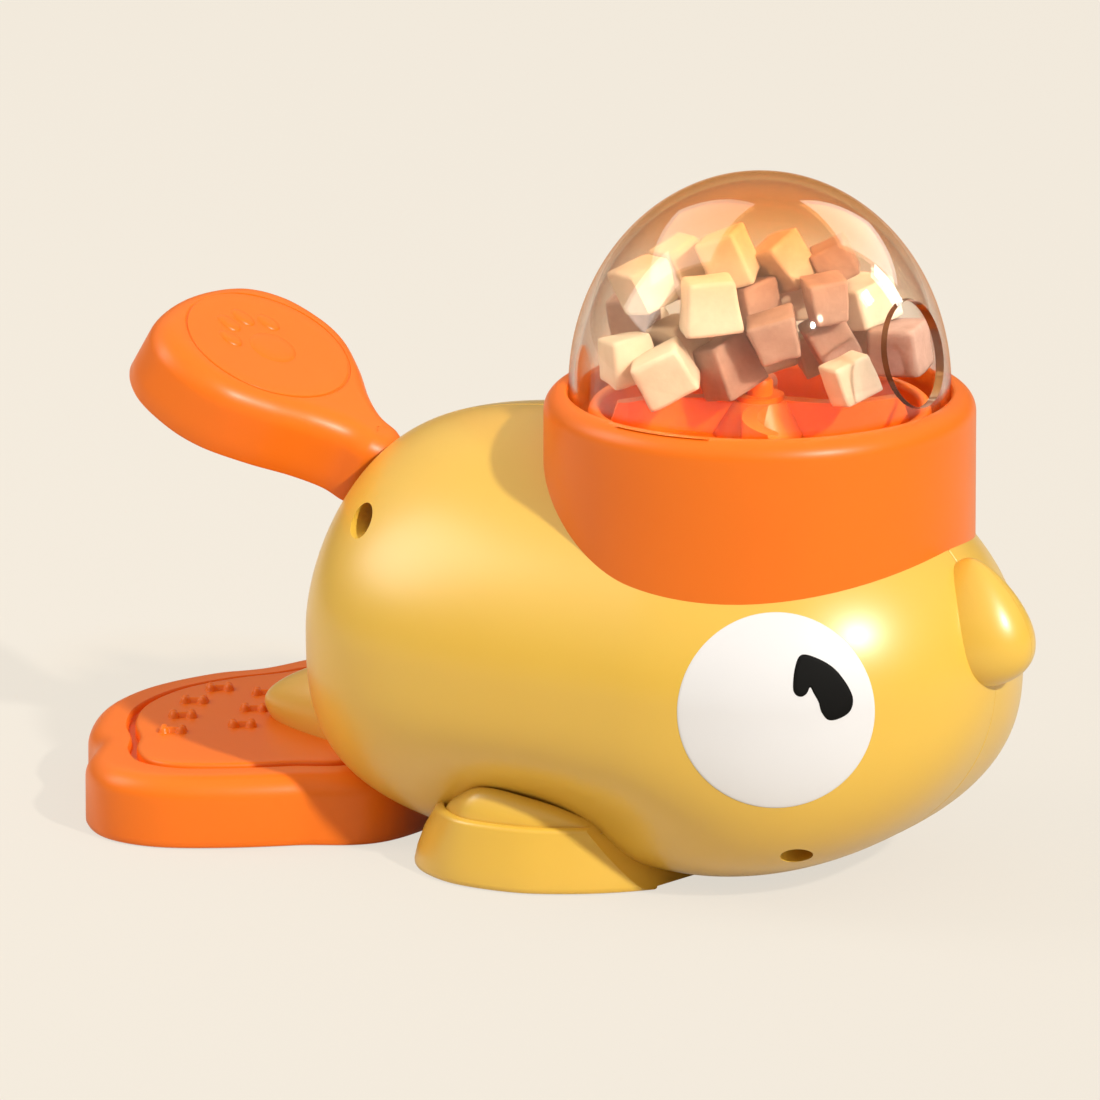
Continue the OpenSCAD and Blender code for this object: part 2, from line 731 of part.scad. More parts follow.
module paddle_base() {
    low = paddle_top - paddle_t;
    color(orange) on_lever() difference() {
        union() {
            translate([0, 0, low]) linear_extrude(base_t) polygon(inset(paddle_line, paddle_wall + gap));
            for (p = paddle_screw_p) translate([p, 0, low]) cylinder(h = bar_low - low, r = 4);
        }
        for (p = paddle_screw_p) {
            translate([p, 0, low - 1]) cylinder(h = 10, r = screw_r + 0.2);
            translate([p, 0, low - 1]) cylinder(h = 2.4, r = 3);
        }
    }
}

module paddle_screws() {
    low = paddle_top - paddle_t;
    color(steel) on_lever() for (p = paddle_screw_p) translate([p, 0, low]) {
        translate([0, 0, 0.2]) cylinder(h = 1.2, r = 2.7);
        translate([0, 0, 1]) cylinder(h = bar_low - low + 4.5, r = screw_r);
    }
}

// Wire ring of the spring at a turn and a height
function coil_ring(t, z) = [for (j = [0:5]) let (r = spring_r + spring_wire_r * cos(60 * j))
    [spring_x + r * cos(t), spring_y + r * sin(t), z + spring_wire_r * sin(60 * j)]];

module return_spring() {
    low = spring_z + spring_wire_r;
    rise = spring_top_z - gap - spring_wire_r - low;
    turns = spring_coils * 8;
    color(steel) ring_stack([for (i = [turns:-1:0]) coil_ring(-45 * i, low + rise * i / turns)]);
}

body_shell_right();
body_shell_left();
eye_right();
eye_left();
case_screws();
pivot_pin();
wing_right();
wing_left();
wing_cap_right();
wing_cap_left();
foot();
foot_tread();
foot_bones();
foot_sole();
foot_screws();
collar();
bowl();
bowl_screws();
bowl_bush();
dome();
rotor();
rotor_knob();
rotor_shaft();
pinion();
shaft_ring();
chassis();
chassis_bush();
chassis_screws();
rack();
lever();
paddle();
paddle_panel();
paddle_base();
paddle_screws();
return_spring();
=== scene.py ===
import math
import numpy as np
import bpy
import bmesh
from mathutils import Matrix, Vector


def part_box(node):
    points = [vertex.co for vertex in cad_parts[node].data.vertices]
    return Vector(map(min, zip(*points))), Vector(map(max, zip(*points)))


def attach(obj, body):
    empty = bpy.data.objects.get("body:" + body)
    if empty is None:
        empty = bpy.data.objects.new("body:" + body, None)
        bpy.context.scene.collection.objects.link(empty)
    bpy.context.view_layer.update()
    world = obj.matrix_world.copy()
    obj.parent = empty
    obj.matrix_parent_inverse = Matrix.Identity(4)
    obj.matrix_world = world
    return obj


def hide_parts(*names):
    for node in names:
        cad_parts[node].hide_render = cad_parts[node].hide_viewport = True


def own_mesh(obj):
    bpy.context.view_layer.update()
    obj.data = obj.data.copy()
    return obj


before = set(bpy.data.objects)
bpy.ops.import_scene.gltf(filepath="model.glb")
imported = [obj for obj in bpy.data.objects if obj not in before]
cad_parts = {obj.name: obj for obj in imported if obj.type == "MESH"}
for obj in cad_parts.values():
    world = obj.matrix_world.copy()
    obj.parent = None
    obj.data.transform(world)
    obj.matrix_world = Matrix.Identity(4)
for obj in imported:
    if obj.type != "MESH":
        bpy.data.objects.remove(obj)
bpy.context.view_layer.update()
print("frame loaded", len(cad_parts), "nodes")

mm = 0.001
weld = {"doubles": 0.000004, "slivers": 0.000002}
# the camera's axes: picture right, picture up, and back towards the camera
right = np.array([0.866, 0.5, 0])
up = np.array([-0.1294, 0.2241, 0.9659])
toward = np.array([0.483, -0.8365, 0.2588])
target = np.array([-5.0, 0, 69.8]) * mm


# shader sockets as Python values

class Value:
    def __init__(self, tree, socket):
        self.tree = tree
        self.socket = socket

    def maths(self, operation, a, b):
        n = self.tree.nodes.new("ShaderNodeMath")
        n.operation = operation
        for slot, v in zip(n.inputs, (a, b)):
            if isinstance(v, Value):
                self.tree.links.new(v.socket, slot)
            else:
                slot.default_value = v
        return Value(self.tree, n.outputs[0])

    def __add__(self, o): return self.maths("ADD", self, o)
    def __radd__(self, o): return self.maths("ADD", o, self)
    def __mul__(self, o): return self.maths("MULTIPLY", self, o)
    def __rmul__(self, o): return self.maths("MULTIPLY", o, self)
    def __pow__(self, o): return self.maths("POWER", self, o)


class Finish:
    # one material or world
    # make() adds any node: its type, its settings, the values or links of its sockets
    def __init__(self, name, owner=None):
        self.owner = owner or bpy.data.materials.new(name)
        self.owner.use_nodes = True
        self.tree = self.owner.node_tree
        self.tree.nodes.clear()
        self.coords = self.make("ShaderNodeTexCoord", {}, {}, "Generated" if owner else "Object")

    def make(self, kind, settings, inputs, output=0):
        n = self.tree.nodes.new(kind)
        for key, v in settings.items():
            if key == "stops":
                ramp = n.color_ramp
                while len(ramp.elements) < len(v):
                    ramp.elements.new(0.5)
                for e, (place, colour) in zip(ramp.elements, v):
                    e.position = place
                    e.color = (*colour, 1)
            else:
                setattr(n, key, v)
        for key, v in inputs.items():
            slot = n.inputs[key]
            if isinstance(v, Value):
                self.tree.links.new(v.socket, slot)
            else:
                slot.default_value = v
        return Value(self.tree, n.outputs[output])

    def noise(self, scale, detail=3, rough=0.5):
        inputs = {"Vector": self.coords, "Scale": scale, "Detail": detail, "Roughness": rough}
        return self.make("ShaderNodeTexNoise", {}, inputs, "Fac")

    def blend(self, fac, a, b):
        return self.make("ShaderNodeMix", {"data_type": "RGBA"}, {0: fac, 6: a, 7: b}, 2)

    def bump(self, height, strength, distance):
        inputs = {"Height": height, "Strength": strength, "Distance": distance}
        return self.make("ShaderNodeBump", {}, inputs)

    def done(self, shader, output="ShaderNodeOutputMaterial"):
        out = self.tree.nodes.new(output)
        self.tree.links.new(shader.socket, out.inputs[0])
        return self.owner


def rgba(r, g, b):
    return (r, g, b, 1)


# colours are linear; grain and clouds are noise scales per metre
moulding = {"clouds": 22, "patches": 60, "grain": 2600, "grainDepth": 0.00006, "coatRough": 0.31,
            "index": 1.48}
yellowLook = {"colour": (0.85, 0.55, 0.076), "deep": (0.81, 0.50, 0.058), "rough": 0.37,
              "coat": 0.9, "shine": 0.5}
orangeLook = {"colour": (0.93, 0.20, 0.009), "deep": (0.88, 0.175, 0.008), "rough": 0.37,
              "coat": 0.14, "shine": 0.34}
greyLook = {"colour": (0.62, 0.61, 0.57), "deep": (0.56, 0.55, 0.51), "rough": 0.45, "coat": 0, "shine": 0.5}
whiteLook = {"colour": (0.83, 0.82, 0.78), "deep": (0.78, 0.77, 0.73), "rough": 0.4, "coat": 0, "shine": 0.5}


def mouldedPlastic(name, look):
    # satin moulding: faint flow clouds in the colour, a spark-eroded grain, softer and harder patches
    f = Finish(name)
    clouds = f.noise(moulding["clouds"])
    grain = f.noise(moulding["grain"], 2, 0.6)
    patches = f.noise(moulding["patches"], 2)
    s = f.make("ShaderNodeBsdfPrincipled", {}, {
        "Base Color": f.blend(clouds, rgba(*look["colour"]), rgba(*look["deep"])),
        "Roughness": look["rough"] - 0.05 + 0.1 * patches + 0.03 * grain,
        "Normal": f.bump(grain, 0.12, moulding["grainDepth"]),
        "Coat Weight": look["coat"], "Coat Roughness": moulding["coatRough"],
        "Subsurface Weight": 0.06, "Subsurface Radius": (0.006, 0.003, 0.001), "Subsurface Scale": 1.0,
        "IOR": moulding["index"], "Specular IOR Level": look["shine"]})
    return f.done(s)


def printedDisc(name, colour, rough, shine):
    # vinyl print with a very fine tooth
    f = Finish(name)
    tooth = f.noise(1800, 2)
    worn = [c * 0.95 for c in colour]
    s = f.make("ShaderNodeBsdfPrincipled", {}, {
        "Base Color": f.blend(f.noise(40, 2), rgba(*colour), rgba(*worn)),
        "Roughness": rough + 0.06 * tooth,
        "Normal": f.bump(tooth, 0.08, 0.00004), "Specular IOR Level": shine})
    return f.done(s)


def platedSteel():
    # zinc-plated screws, pins and wire, faintly brushed
    f = Finish("platedSteel")
    brush = f.noise(900, 2)
    s = f.make("ShaderNodeBsdfPrincipled", {}, {
        "Base Color": f.blend(brush, rgba(0.62, 0.62, 0.63), rgba(0.5, 0.5, 0.52)), "Metallic": 1.0,
        "Roughness": 0.28 + 0.15 * brush})
    return f.done(s)


# deep is painted shade toward the crown and rim is painted shade at grazing angles; pale is the plastic's
# own tint
amberLook = {"paleTo": 0.143, "crownShadeFrom": 0.169, "pale": (0.96, 0.865, 0.745), "deep": (0.945, 0.50, 0.17),
             "shadow": (0.97, 0.92, 0.85), "rim": (0.84, 0.55, 0.31), "rimShadeShare": 0.85, "rimShadePower": 2.6}


def amberClear():
    # clear plastic of an even tint, with painted shade: deeper in tint to the crown and at the rim, for the
    # longer light path through the wall; shadow rays pass with a light tint
    f = Finish("amberClear")
    height = f.make("ShaderNodeSeparateXYZ", {}, {"Vector": f.coords}, "Z")
    rise = f.make("ShaderNodeMapRange", {"interpolation_type": "SMOOTHSTEP"}, {
        "Value": height, "From Min": amberLook["paleTo"], "From Max": amberLook["crownShadeFrom"]})
    glass = f.make("ShaderNodeBsdfPrincipled", {}, {
        "Base Color": f.blend(rise, rgba(*amberLook["pale"]), rgba(*amberLook["deep"])),
        "Roughness": 0.02 + 0.02 * f.noise(300, 2), "IOR": 1.46, "Transmission Weight": 1.0})
    through = f.make("ShaderNodeBsdfTransparent", {}, {"Color": rgba(*amberLook["shadow"])})
    shadowRay = f.make("ShaderNodeLightPath", {}, {}, "Is Shadow Ray")
    slant = f.make("ShaderNodeLayerWeight", {}, {"Blend": 0.5}, "Facing")
    rim = f.make("ShaderNodeBsdfTransparent", {}, {"Color": rgba(*amberLook["rim"])})
    rimShade = amberLook["rimShadeShare"] * slant ** amberLook["rimShadePower"]
    edged = f.make("ShaderNodeMixShader", {}, {0: rimShade, 1: glass, 2: rim})
    return f.done(f.make("ShaderNodeMixShader", {}, {0: shadowRay, 1: edged, 2: through}))


def outletShadeEdge():
    # polished edge of the outlet: painted shade, an opaque dark brown standing for the tint seen through the
    # whole wall, where the clear wall looks dark edge-on
    f = Finish("outletShadeEdge")
    s = f.make("ShaderNodeBsdfPrincipled", {}, {
        "Base Color": f.blend(f.noise(90, 2), rgba(0.045, 0.015, 0.008), rgba(0.20, 0.065, 0.022)),
        "Roughness": 0.12 + 0.06 * f.noise(400, 2), "Coat Weight": 1.0, "Coat Roughness": 0.05})
    return f.done(s)


def driedTreat(name, pale, dark):
    # pressed crumb: soft clouds, fine pits, a dusty surface
    f = Finish(name)
    clouds = f.noise(130, 4, 0.55)
    pits = f.noise(900, 4, 0.6)
    stops = {"stops": [(0.32, dark), (0.62, pale)]}
    s = f.make("ShaderNodeBsdfPrincipled", {}, {
        "Base Color": f.make("ShaderNodeValToRGB", stops, {"Fac": clouds * 0.75 + pits * 0.25}),
        "Roughness": 0.62 + 0.2 * pits, "Normal": f.bump(clouds + 0.5 * pits, 0.35, 0.0004)})
    return f.done(s)


yellow = mouldedPlastic("yellowPlastic", yellowLook)
orange = mouldedPlastic("orangePlastic", orangeLook)
greyNylon = mouldedPlastic("greyNylon", greyLook)
whiteAcetal = mouldedPlastic("whiteAcetal", whiteLook)
eyeWhite = printedDisc("eyeWhite", (0.83, 0.845, 0.885), 0.42, 0.5)
pupilBlack = printedDisc("pupilBlack", (0.005, 0.005, 0.005), 0.6, 0.12)
steel = platedSteel()
clear = amberClear()
outletShadeAmber = outletShadeEdge()
treatLooks = [driedTreat("treatCream", (0.74, 0.68, 0.60), (0.65, 0.58, 0.49)),
              driedTreat("treatTan", (0.60, 0.50, 0.41), (0.50, 0.39, 0.30)),
              driedTreat("treatBrown", (0.43, 0.285, 0.245), (0.31, 0.19, 0.16))]
print("finishes made")


# meshes

def gridObject(name, sheets, material, sharp=40):
    # sheets: arrays (rows, columns, 3) in mm
    # each becomes quads, then doubles merge and faces turn outwards
    verts, faces, base = [], [], 0
    for p in sheets:
        r, c = p.shape[:2]
        i = (np.arange(r - 1)[:, None] * c + np.arange(c - 1)[None, :]).ravel() + base
        faces.append(np.stack([i, i + 1, i + c + 1, i + c], 1))
        verts.append(p.reshape(-1, 3))
        base += r * c
    mesh = bpy.data.meshes.new(name)
    mesh.from_pydata((np.concatenate(verts) * mm).tolist(), [], np.concatenate(faces).tolist())
    b = bmesh.new()
    b.from_mesh(mesh)
    bmesh.ops.remove_doubles(b, verts=b.verts, dist=weld["doubles"])
    bmesh.ops.dissolve_degenerate(b, edges=b.edges, dist=weld["slivers"])
    bmesh.ops.recalc_face_normals(b, faces=b.faces)
    b.to_mesh(mesh)
    b.free()
    obj = bpy.data.objects.new(name, mesh)
    bpy.context.scene.collection.objects.link(obj)
    smooth(mesh, sharp)
    if material:
        mesh.materials.append(material)
    return obj


def smooth(mesh, sharp):
    # smooth shading, with edges over an angle kept sharp
    mesh.polygons.foreach_set("use_smooth", np.ones(len(mesh.polygons), bool))
    mesh.set_sharp_from_angle(angle=math.radians(sharp))


def carve(obj, cutter, operation="DIFFERENCE", sharp=40):
    # exact boolean put into the mesh; the cutter is used up
    m = obj.modifiers.new("carve", "BOOLEAN")
    m.object = cutter
    m.operation = operation
    m.solver = "EXACT"
    bpy.context.view_layer.update()
    shaped = bpy.data.meshes.new_from_object(obj.evaluated_get(bpy.context.evaluated_depsgraph_get()))
    obj.modifiers.clear()
    old = obj.data
    obj.data = shaped
    bpy.data.meshes.remove(old)
    bpy.data.objects.remove(cutter)
    smooth(shaped, sharp)
    shaped.name = obj.name


def rod(p0, p1, radius, sides=72):
    # straight round bar from p0 to p1, closed at both ends
    p0, p1 = np.array(p0, float), np.array(p1, float)
    d = (p1 - p0) / np.linalg.norm(p1 - p0)
    e = np.cross(d, [0, 0, 1.0]) if abs(d[2]) < 0.9 else np.cross(d, [1.0, 0, 0])
    e = e / np.linalg.norm(e)
    g = np.cross(d, e)
    t = np.linspace(0, 2 * np.pi, sides + 1)
    ring = np.cos(t)[:, None] * e + np.sin(t)[:, None] * g
    rows = [p0 + 0 * ring, p0 + radius * ring, p1 + radius * ring, p1 + 0 * ring]
    return gridObject("rod", [np.stack(rows)], None)


def boxCutter(place, size, turn, about):
    # box from place with size, turned about the Y axis through a point
    c = np.array([[[0, 0, 0], [0, 0, 1], [0, 1, 1], [0, 1, 0], [0, 0, 0]],
                  [[1, 0, 0], [1, 0, 1], [1, 1, 1], [1, 1, 0], [1, 0, 0]]], float)
    ends = [np.stack([c[k, 0:2], c[k, [3, 2]]]) for k in (0, 1)]
    out = []
    for s in [c] + ends:
        p = s * np.array(size, float) + np.array(place, float)
        out.append(turnY(p, turn) + np.array(about, float))
    return gridObject("box", out, None)


def turnY(p, degrees):
    # right-hand turn about +Y
    a = math.radians(degrees)
    return np.stack([p[..., 0] * math.cos(a) + p[..., 2] * math.sin(a), p[..., 1],
                     -p[..., 0] * math.sin(a) + p[..., 2] * math.cos(a)], -1)


def catmullRom(a, b, c, d, t):
    # from b at t = 0 to c at t = 1, with a and d as the neighbours
    return 0.5 * (2 * b + (c - a) * t + (2 * a - 5 * b + 4 * c - d) * t ** 2
                  + (3 * b - a - 3 * c + d) * t ** 3)


def closedCurve(points, steps):
    # curve through a closed ring of points; the last point repeats the first
    p = np.array(points, float)
    around = [np.roll(p, k, 0)[:, None, :] for k in (1, 0, -1, -2)]
    q = catmullRom(*around, (np.arange(steps) / steps)[None, :, None]).reshape(-1, 2)
    return np.vstack([q, q[:1]])


def smoothLine(k, y):
    # curve through evenly numbered values, read at the places k
    i = np.minimum(k.astype(int), len(y) - 2)
    return catmullRom(y[np.maximum(i - 1, 0)], y[i], y[i + 1], y[np.minimum(i + 2, len(y) - 1)], k - i)


def insetCurve(p, d):
    # closed left-turning outline moved inwards by d along its normals
    q = p[:-1]
    v = np.roll(q, -1, 0) - np.roll(q, 1, 0)
    v = v / np.linalg.norm(v, axis=1)[:, None]
    n = np.stack([-v[:, 1], v[:, 0]], 1)
    n = (np.roll(n, 1, 0) + 2 * n + np.roll(n, -1, 0)) / 4
    q = q + d * n / np.linalg.norm(n, axis=1)[:, None]
    return np.vstack([q, q[:1]])


def stackRows(outline, rows):
    # rows of (inset, height): the outline carried through a profile
    rings = [(insetCurve(outline, d), z) for d, z in rows]
    return np.stack([np.column_stack([ring, np.full(len(ring), z)]) for ring, z in rings])


def fillet(inset, height, radius, start, stop, steps):
    # rows round a corner: angle 0 is the upright wall, 90 the flat top
    angles = np.radians(np.linspace(start, stop, steps))
    return [(inset + radius * (1 - math.cos(a)), height + radius * math.sin(a)) for a in angles]


def mirrored(sheets, side):
    # sheets as they are for side 1, turned over to the other side of the seam for -1
    return [p * np.array([1, side, 1]) for p in sheets]


# body

body = {"width": 123, "waist": 53.5, "crown": 54, "belly": 53.1, "rear": 104, "front": 71, "rearPower": 3.6,
        "frontPower": 2.0, "crownPower": 1.8, "bellyPower": 2.8, "midX": 47.2, "seam": 0.4, "gap": 0.04,
        "wall": 2.6}
flank = {"x": 18, "along": 40, "z": 16, "tall": 14, "depth": 0.215}
hopper = {"x": 53.2, "rim": 117.5, "throat": 46.4, "outer": 52, "well": 49.2}
rearX = body["midX"] - body["rear"]
noseX = body["midX"] + body["front"]


def sectionScale(x):
    # size of the cross-section: (1 - |d / reach|^p)^(1/p)
    d = x - body["midX"]
    reach = np.where(d < 0, body["rear"], body["front"])
    p = np.where(d < 0, body["rearPower"], body["frontPower"])
    return np.maximum(1e-9, 1 - np.minimum(1, np.abs(d) / reach) ** p) ** (1 / p)


def bodyPoint(x, g, a):
    # point of the section at angle a from the waist: superellipse, blunter below
    n = np.where(a < 0, body["bellyPower"], body["crownPower"])
    c, s = np.cos(a), np.sin(a)
    r = (np.abs(c) ** n + np.abs(s) ** n) ** (-1 / n)
    h = np.where(a < 0, body["belly"], body["crown"])
    return np.stack([x + 0 * a, body["width"] / 2 * g * r * c, body["waist"] + h * g * r * s], -1)


def bodyDepth(p):
    # below 0 inside the skin, above 0 outside
    g = sectionScale(p[..., 0])
    dz = p[..., 2] - body["waist"]
    n = np.where(dz < 0, body["bellyPower"], body["crownPower"])
    h = np.where(dz < 0, body["belly"], body["crown"])
    return (np.abs(p[..., 1]) / (body["width"] / 2 * g)) ** n + (np.abs(dz) / (h * g)) ** n - 1


def flankShare(p):
    # width that is left where the flank is drawn in: 1 - k exp(-((x - x0)/a)^2 - ((z - z0)/b)^2)
    u = (p[..., 0] - flank["x"]) / flank["along"]
    v = (p[..., 2] - flank["z"]) / flank["tall"]
    return 1 - flank["depth"] * np.exp(-u ** 2 - v ** 2)


def pinched(p):
    # flank drawn in above the wings
    q = p.copy()
    q[..., 1] = p[..., 1] * flankShare(p)
    return q


def spread(p):
    # takes the drawn-in flank back out to the plain section
    q = p.copy()
    q[..., 1] = p[..., 1] / flankShare(p)
    return q


def skinAlong(start, way, low, high):
    # how far along a direction the skin lies, by halving between low and high
    low, high = [np.full(start.shape[:-1], float(end)) for end in (low, high)]
    for k in range(40):
        mid = (low + high) / 2
        outside = bodyDepth(spread(start + mid[..., None] * way)) > 0
        high, low = np.where(outside, mid, high), np.where(outside, low, mid)
    return low


def sectionRows(cells, inset=0):
    # x and section scale from one angle u: x = reach sin(u)^(2/p), g = cos(u)^(2/p)
    u = np.linspace(0, np.pi / 2, cells)
    xr = body["midX"] - (body["rear"] - inset) * np.sin(u[::-1]) ** (2 / body["rearPower"])
    gr = np.cos(u[::-1]) ** (2 / body["rearPower"])
    xf = body["midX"] + (body["front"] - inset) * np.sin(u[1:]) ** (2 / body["frontPower"])
    gf = np.cos(u[1:]) ** (2 / body["frontPower"])
    return np.concatenate([xr, xf]), np.maximum(0, np.concatenate([gr, gf]))


def innerBody():
    # the hollow inside both halves, one wall smaller than the skin
    x, g = sectionRows(50, body["wall"])
    a = np.linspace(-np.pi, np.pi, 121)
    p = bodyPoint(x[:, None], g[:, None], a[None, :])
    k = 1 - body["wall"] * 2 / body["width"]
    p[..., 1] *= k
    p[..., 2] = body["waist"] + (p[..., 2] - body["waist"]) * k
    return [pinched(p)]


def skinTop(x, y):
    # height of the back over a place in plan
    g = sectionScale(x)
    k = np.minimum(1, np.abs(y) / (body["width"] / 2 * g)) ** body["crownPower"]
    return body["waist"] + body["crown"] * g * (1 - k) ** (1 / body["crownPower"])


def halfBody(side):
    # one half of the skin, its rim eased in along the seam, and the flat that closes it
    x, g = sectionRows(110)
    near = np.array([0, 0.25, 0.5, 0.9, 1.5])
    ease = np.array([1, 0.35, 0.06, 0, 0])
    flat = np.linspace(-87, 87, 117)
    a = np.radians(np.concatenate([-90 + near, flat, (90 - near)[::-1]]))
    edge = np.concatenate([ease, 0 * flat, ease[::-1]]) * body["seam"]
    p = bodyPoint(x[:, None], g[:, None], a[None, :])
    centre = np.stack([x, 0 * x, body["waist"] + 0 * x], -1)[:, None, :]
    out = p - centre
    reach = np.maximum(1, np.linalg.norm(out, axis=-1, keepdims=True))
    p = pinched(centre + out * (1 - edge[None, :, None] / reach))
    p[..., 1] += body["gap"]
    return mirrored([p, seamFlat(p)], side)


def seamFlat(p):
    # strip between the first and last columns of a half, on the plane of symmetry
    return np.stack([p[:, 0], p[:, -1]], 1)


bill = {"centre": (noseX - 6, 0, 67.6), "semi": (14.3, 10.4, 15.8), "lean": -6, "taper": 0.38}
tailPiece = {"from": rearX + 14, "length": 42.5, "z": 21.5, "wide": 20, "tall": 19.5, "power": 0.57}
pivot = {"x": rearX + 21.6, "z": 82.0, "tilt": 28, "press": 28,
         "arm": {"place": (-45, -9.8, -16.3), "size": (39, 19.6, 19.6)}}
holes = {"radius": 3.6, "wall": 2, "floor": 2.5, "past": 12,
         "pivot": {"x": pivot["x"], "z": pivot["z"], "axis": (0, -1, 0), "depth": 25},
         "case": {"x": noseX - 34.8, "z": 14, "axis": (0.22, -0.9, -0.36), "depth": 18}}


def beakHalf(side):
    # half of an ellipsoid that leans about Y and is narrower with height
    b, t = np.meshgrid(np.linspace(-np.pi / 2, np.pi / 2, 60), np.linspace(0, np.pi, 60), indexing="ij")
    deep, wide, tall = bill["semi"]
    ring, z = np.cos(b), np.sin(b)
    x = deep * ring * np.cos(t) * (1 - bill["taper"] * z)
    y = wide * ring * np.sin(t) * (1 - bill["taper"] * z)
    p = turnY(np.stack([x, y, tall * z], -1), bill["lean"]) + np.array(bill["centre"])
    p[..., 1] += body["gap"]
    return mirrored([p, seamFlat(p)], side)


def tailHalf(side):
    # rings that shrink to the tip as (1 - s)^k, s along the length
    s = 1 - np.linspace(1, 0, 48)[:, None] ** 2
    a = np.linspace(-np.pi / 2, np.pi / 2, 49)
    w = (1 - s) ** tailPiece["power"]
    x = tailPiece["from"] - tailPiece["length"] * s + 0 * a
    y = tailPiece["wide"] * w * np.cos(a) + body["gap"]
    p = np.stack([x, y, tailPiece["z"] + tailPiece["tall"] * w * np.sin(a)], -1)
    middle = [tailPiece["from"], body["gap"], tailPiece["z"]]
    root = np.stack([p[0], np.tile(middle, (len(a), 1))])
    return mirrored([p, root, seamFlat(p)], side)


def bored(shell, side, hole):
    # tube from the skin inwards, trimmed to the skin, then its bore
    out = skinAlong(np.array([hole["x"], 0, hole["z"]]), np.array([0, 1.0, 0]), 0, 70)
    mouth = np.array([hole["x"], -float(out), hole["z"]])
    axis = np.array(hole["axis"]) / np.linalg.norm(hole["axis"])
    floor = mouth - axis * hole["depth"]
    end = mouth + axis * holes["past"]
    post = rod(floor - axis * holes["floor"], end, holes["radius"] + holes["wall"])
    carve(post, gridObject("within", halfBody(side), None), "INTERSECT")
    carve(shell, post, "UNION", 35)
    carve(shell, rod(floor, end, holes["radius"]))


def makeShell(name, side, node):
    shell = gridObject(name, halfBody(side), yellow, 35)
    for part in (beakHalf, tailHalf):
        carve(shell, gridObject("half", part(side), None), "UNION", 35)
    carve(shell, gridObject("hollow", innerBody(), None))
    if side < 0:
        for hole in (holes["pivot"], holes["case"]):
            bored(shell, side, hole)
    carve(shell, rod((hopper["x"], 0, 62), (hopper["x"], 0, 140), hopper["well"], 128))
    arm = pivot["arm"]
    # the lever's slot: the arm's box at rest, half-way and pressed
    for swing in (1, -pivot["press"] / 2, -pivot["press"] - 1):
        slot = boxCutter(arm["place"], arm["size"], pivot["tilt"] + swing, (pivot["x"], 0, pivot["z"]))
        carve(shell, slot)
    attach(shell, "base")
    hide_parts(node)
    return shell


shellRight = makeShell("shellRight", -1, "body_shell_right")
shellLeft = makeShell("shellLeft", 1, "body_shell_left")
print("body shells", len(shellRight.data.polygons), len(shellLeft.data.polygons))


# eyes

# the pupil's points are right and up from the eye's middle
eye = {"radius": 23.6, "x": noseX - 32, "y": 50.4, "z": 53, "turn": 30, "lift": 0.3,
       "rimIn": (0.4, 0.2, 0.05, 0), "rimDrop": (0.02, 0.08, 0.2, 0.6),
       "pupilMid": (9.3, 9.8), "pupilLift": 0.22,
       "pupil": [(4.5, 11.6), (5.9, 14.3), (9.3, 13.7), (13.5, 11.3), (16.6, 7.6), (18.3, 3.8), (17.6, 0.7),
                 (15, -0.95), (12.4, -1.1), (10.8, 0.9), (10.1, 3.3), (8.9, 5.5), (8.1, 6.9), (7.3, 5.5),
                 (6.0, 4.75), (4.5, 5.4), (4.0, 7.4)]}


def onSkin(u, v, lift, side):
    # place in the eye's plane, moved along the eye's axis until it meets the skin
    a = math.radians(eye["turn"])
    n = np.array([math.sin(a), math.cos(a), 0])
    across = np.array([math.cos(a), -math.sin(a), 0])
    upright = np.array([0, 0, 1.0])
    middle = np.array([eye["x"], eye["y"], eye["z"]])
    start = middle + u[..., None] * across + v[..., None] * upright
    return mirrored([start + (skinAlong(start, n, -30, 25) + lift)[..., None] * n], side)


def makeEye(name, side, node):
    flat = np.linspace(0, 1, 34)
    r = np.concatenate([flat * (eye["radius"] - 0.6), eye["radius"] - np.array(eye["rimIn"])])
    lift = np.concatenate([0 * flat + eye["lift"], eye["lift"] - np.array(eye["rimDrop"])])
    t = np.linspace(0, 2 * np.pi, 129)
    u, v = r[:, None] * np.cos(t), r[:, None] * np.sin(t)
    disc = gridObject(name, onSkin(u, v, lift[:, None] + 0 * u, side), eyeWhite, 60)
    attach(disc, "base")
    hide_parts(node)
    line = closedCurve(np.array(eye["pupil"])[::-1], 8)
    s = np.linspace(0, 1, 7)[:, None, None]
    rings = insetCurve(line, 0.25)[None] * (1 - s) + np.array(eye["pupilMid"]) * s
    u, v = [np.concatenate([[line[:, k], line[:, k]], rings[..., k]]) for k in (0, 1)]
    rise = eye["lift"] + np.array([-0.3, 0.05] + [eye["pupilLift"]] * len(s))[:, None] + 0 * u
    dot = gridObject(name + "Pupil", onSkin(u, v, rise, side), pupilBlack, 60)
    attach(dot, "base")


makeEye("eyeDiscRight", -1, "eye_right")
makeEye("eyeDiscLeft", 1, "eye_left")
print("eyes")


# hopper

collarShape = {"round": 5, "lip": 4, "notch": 30, "floor": 98.0, "channel": 2.2, "channelTo": 9, "sunk": 2.5}


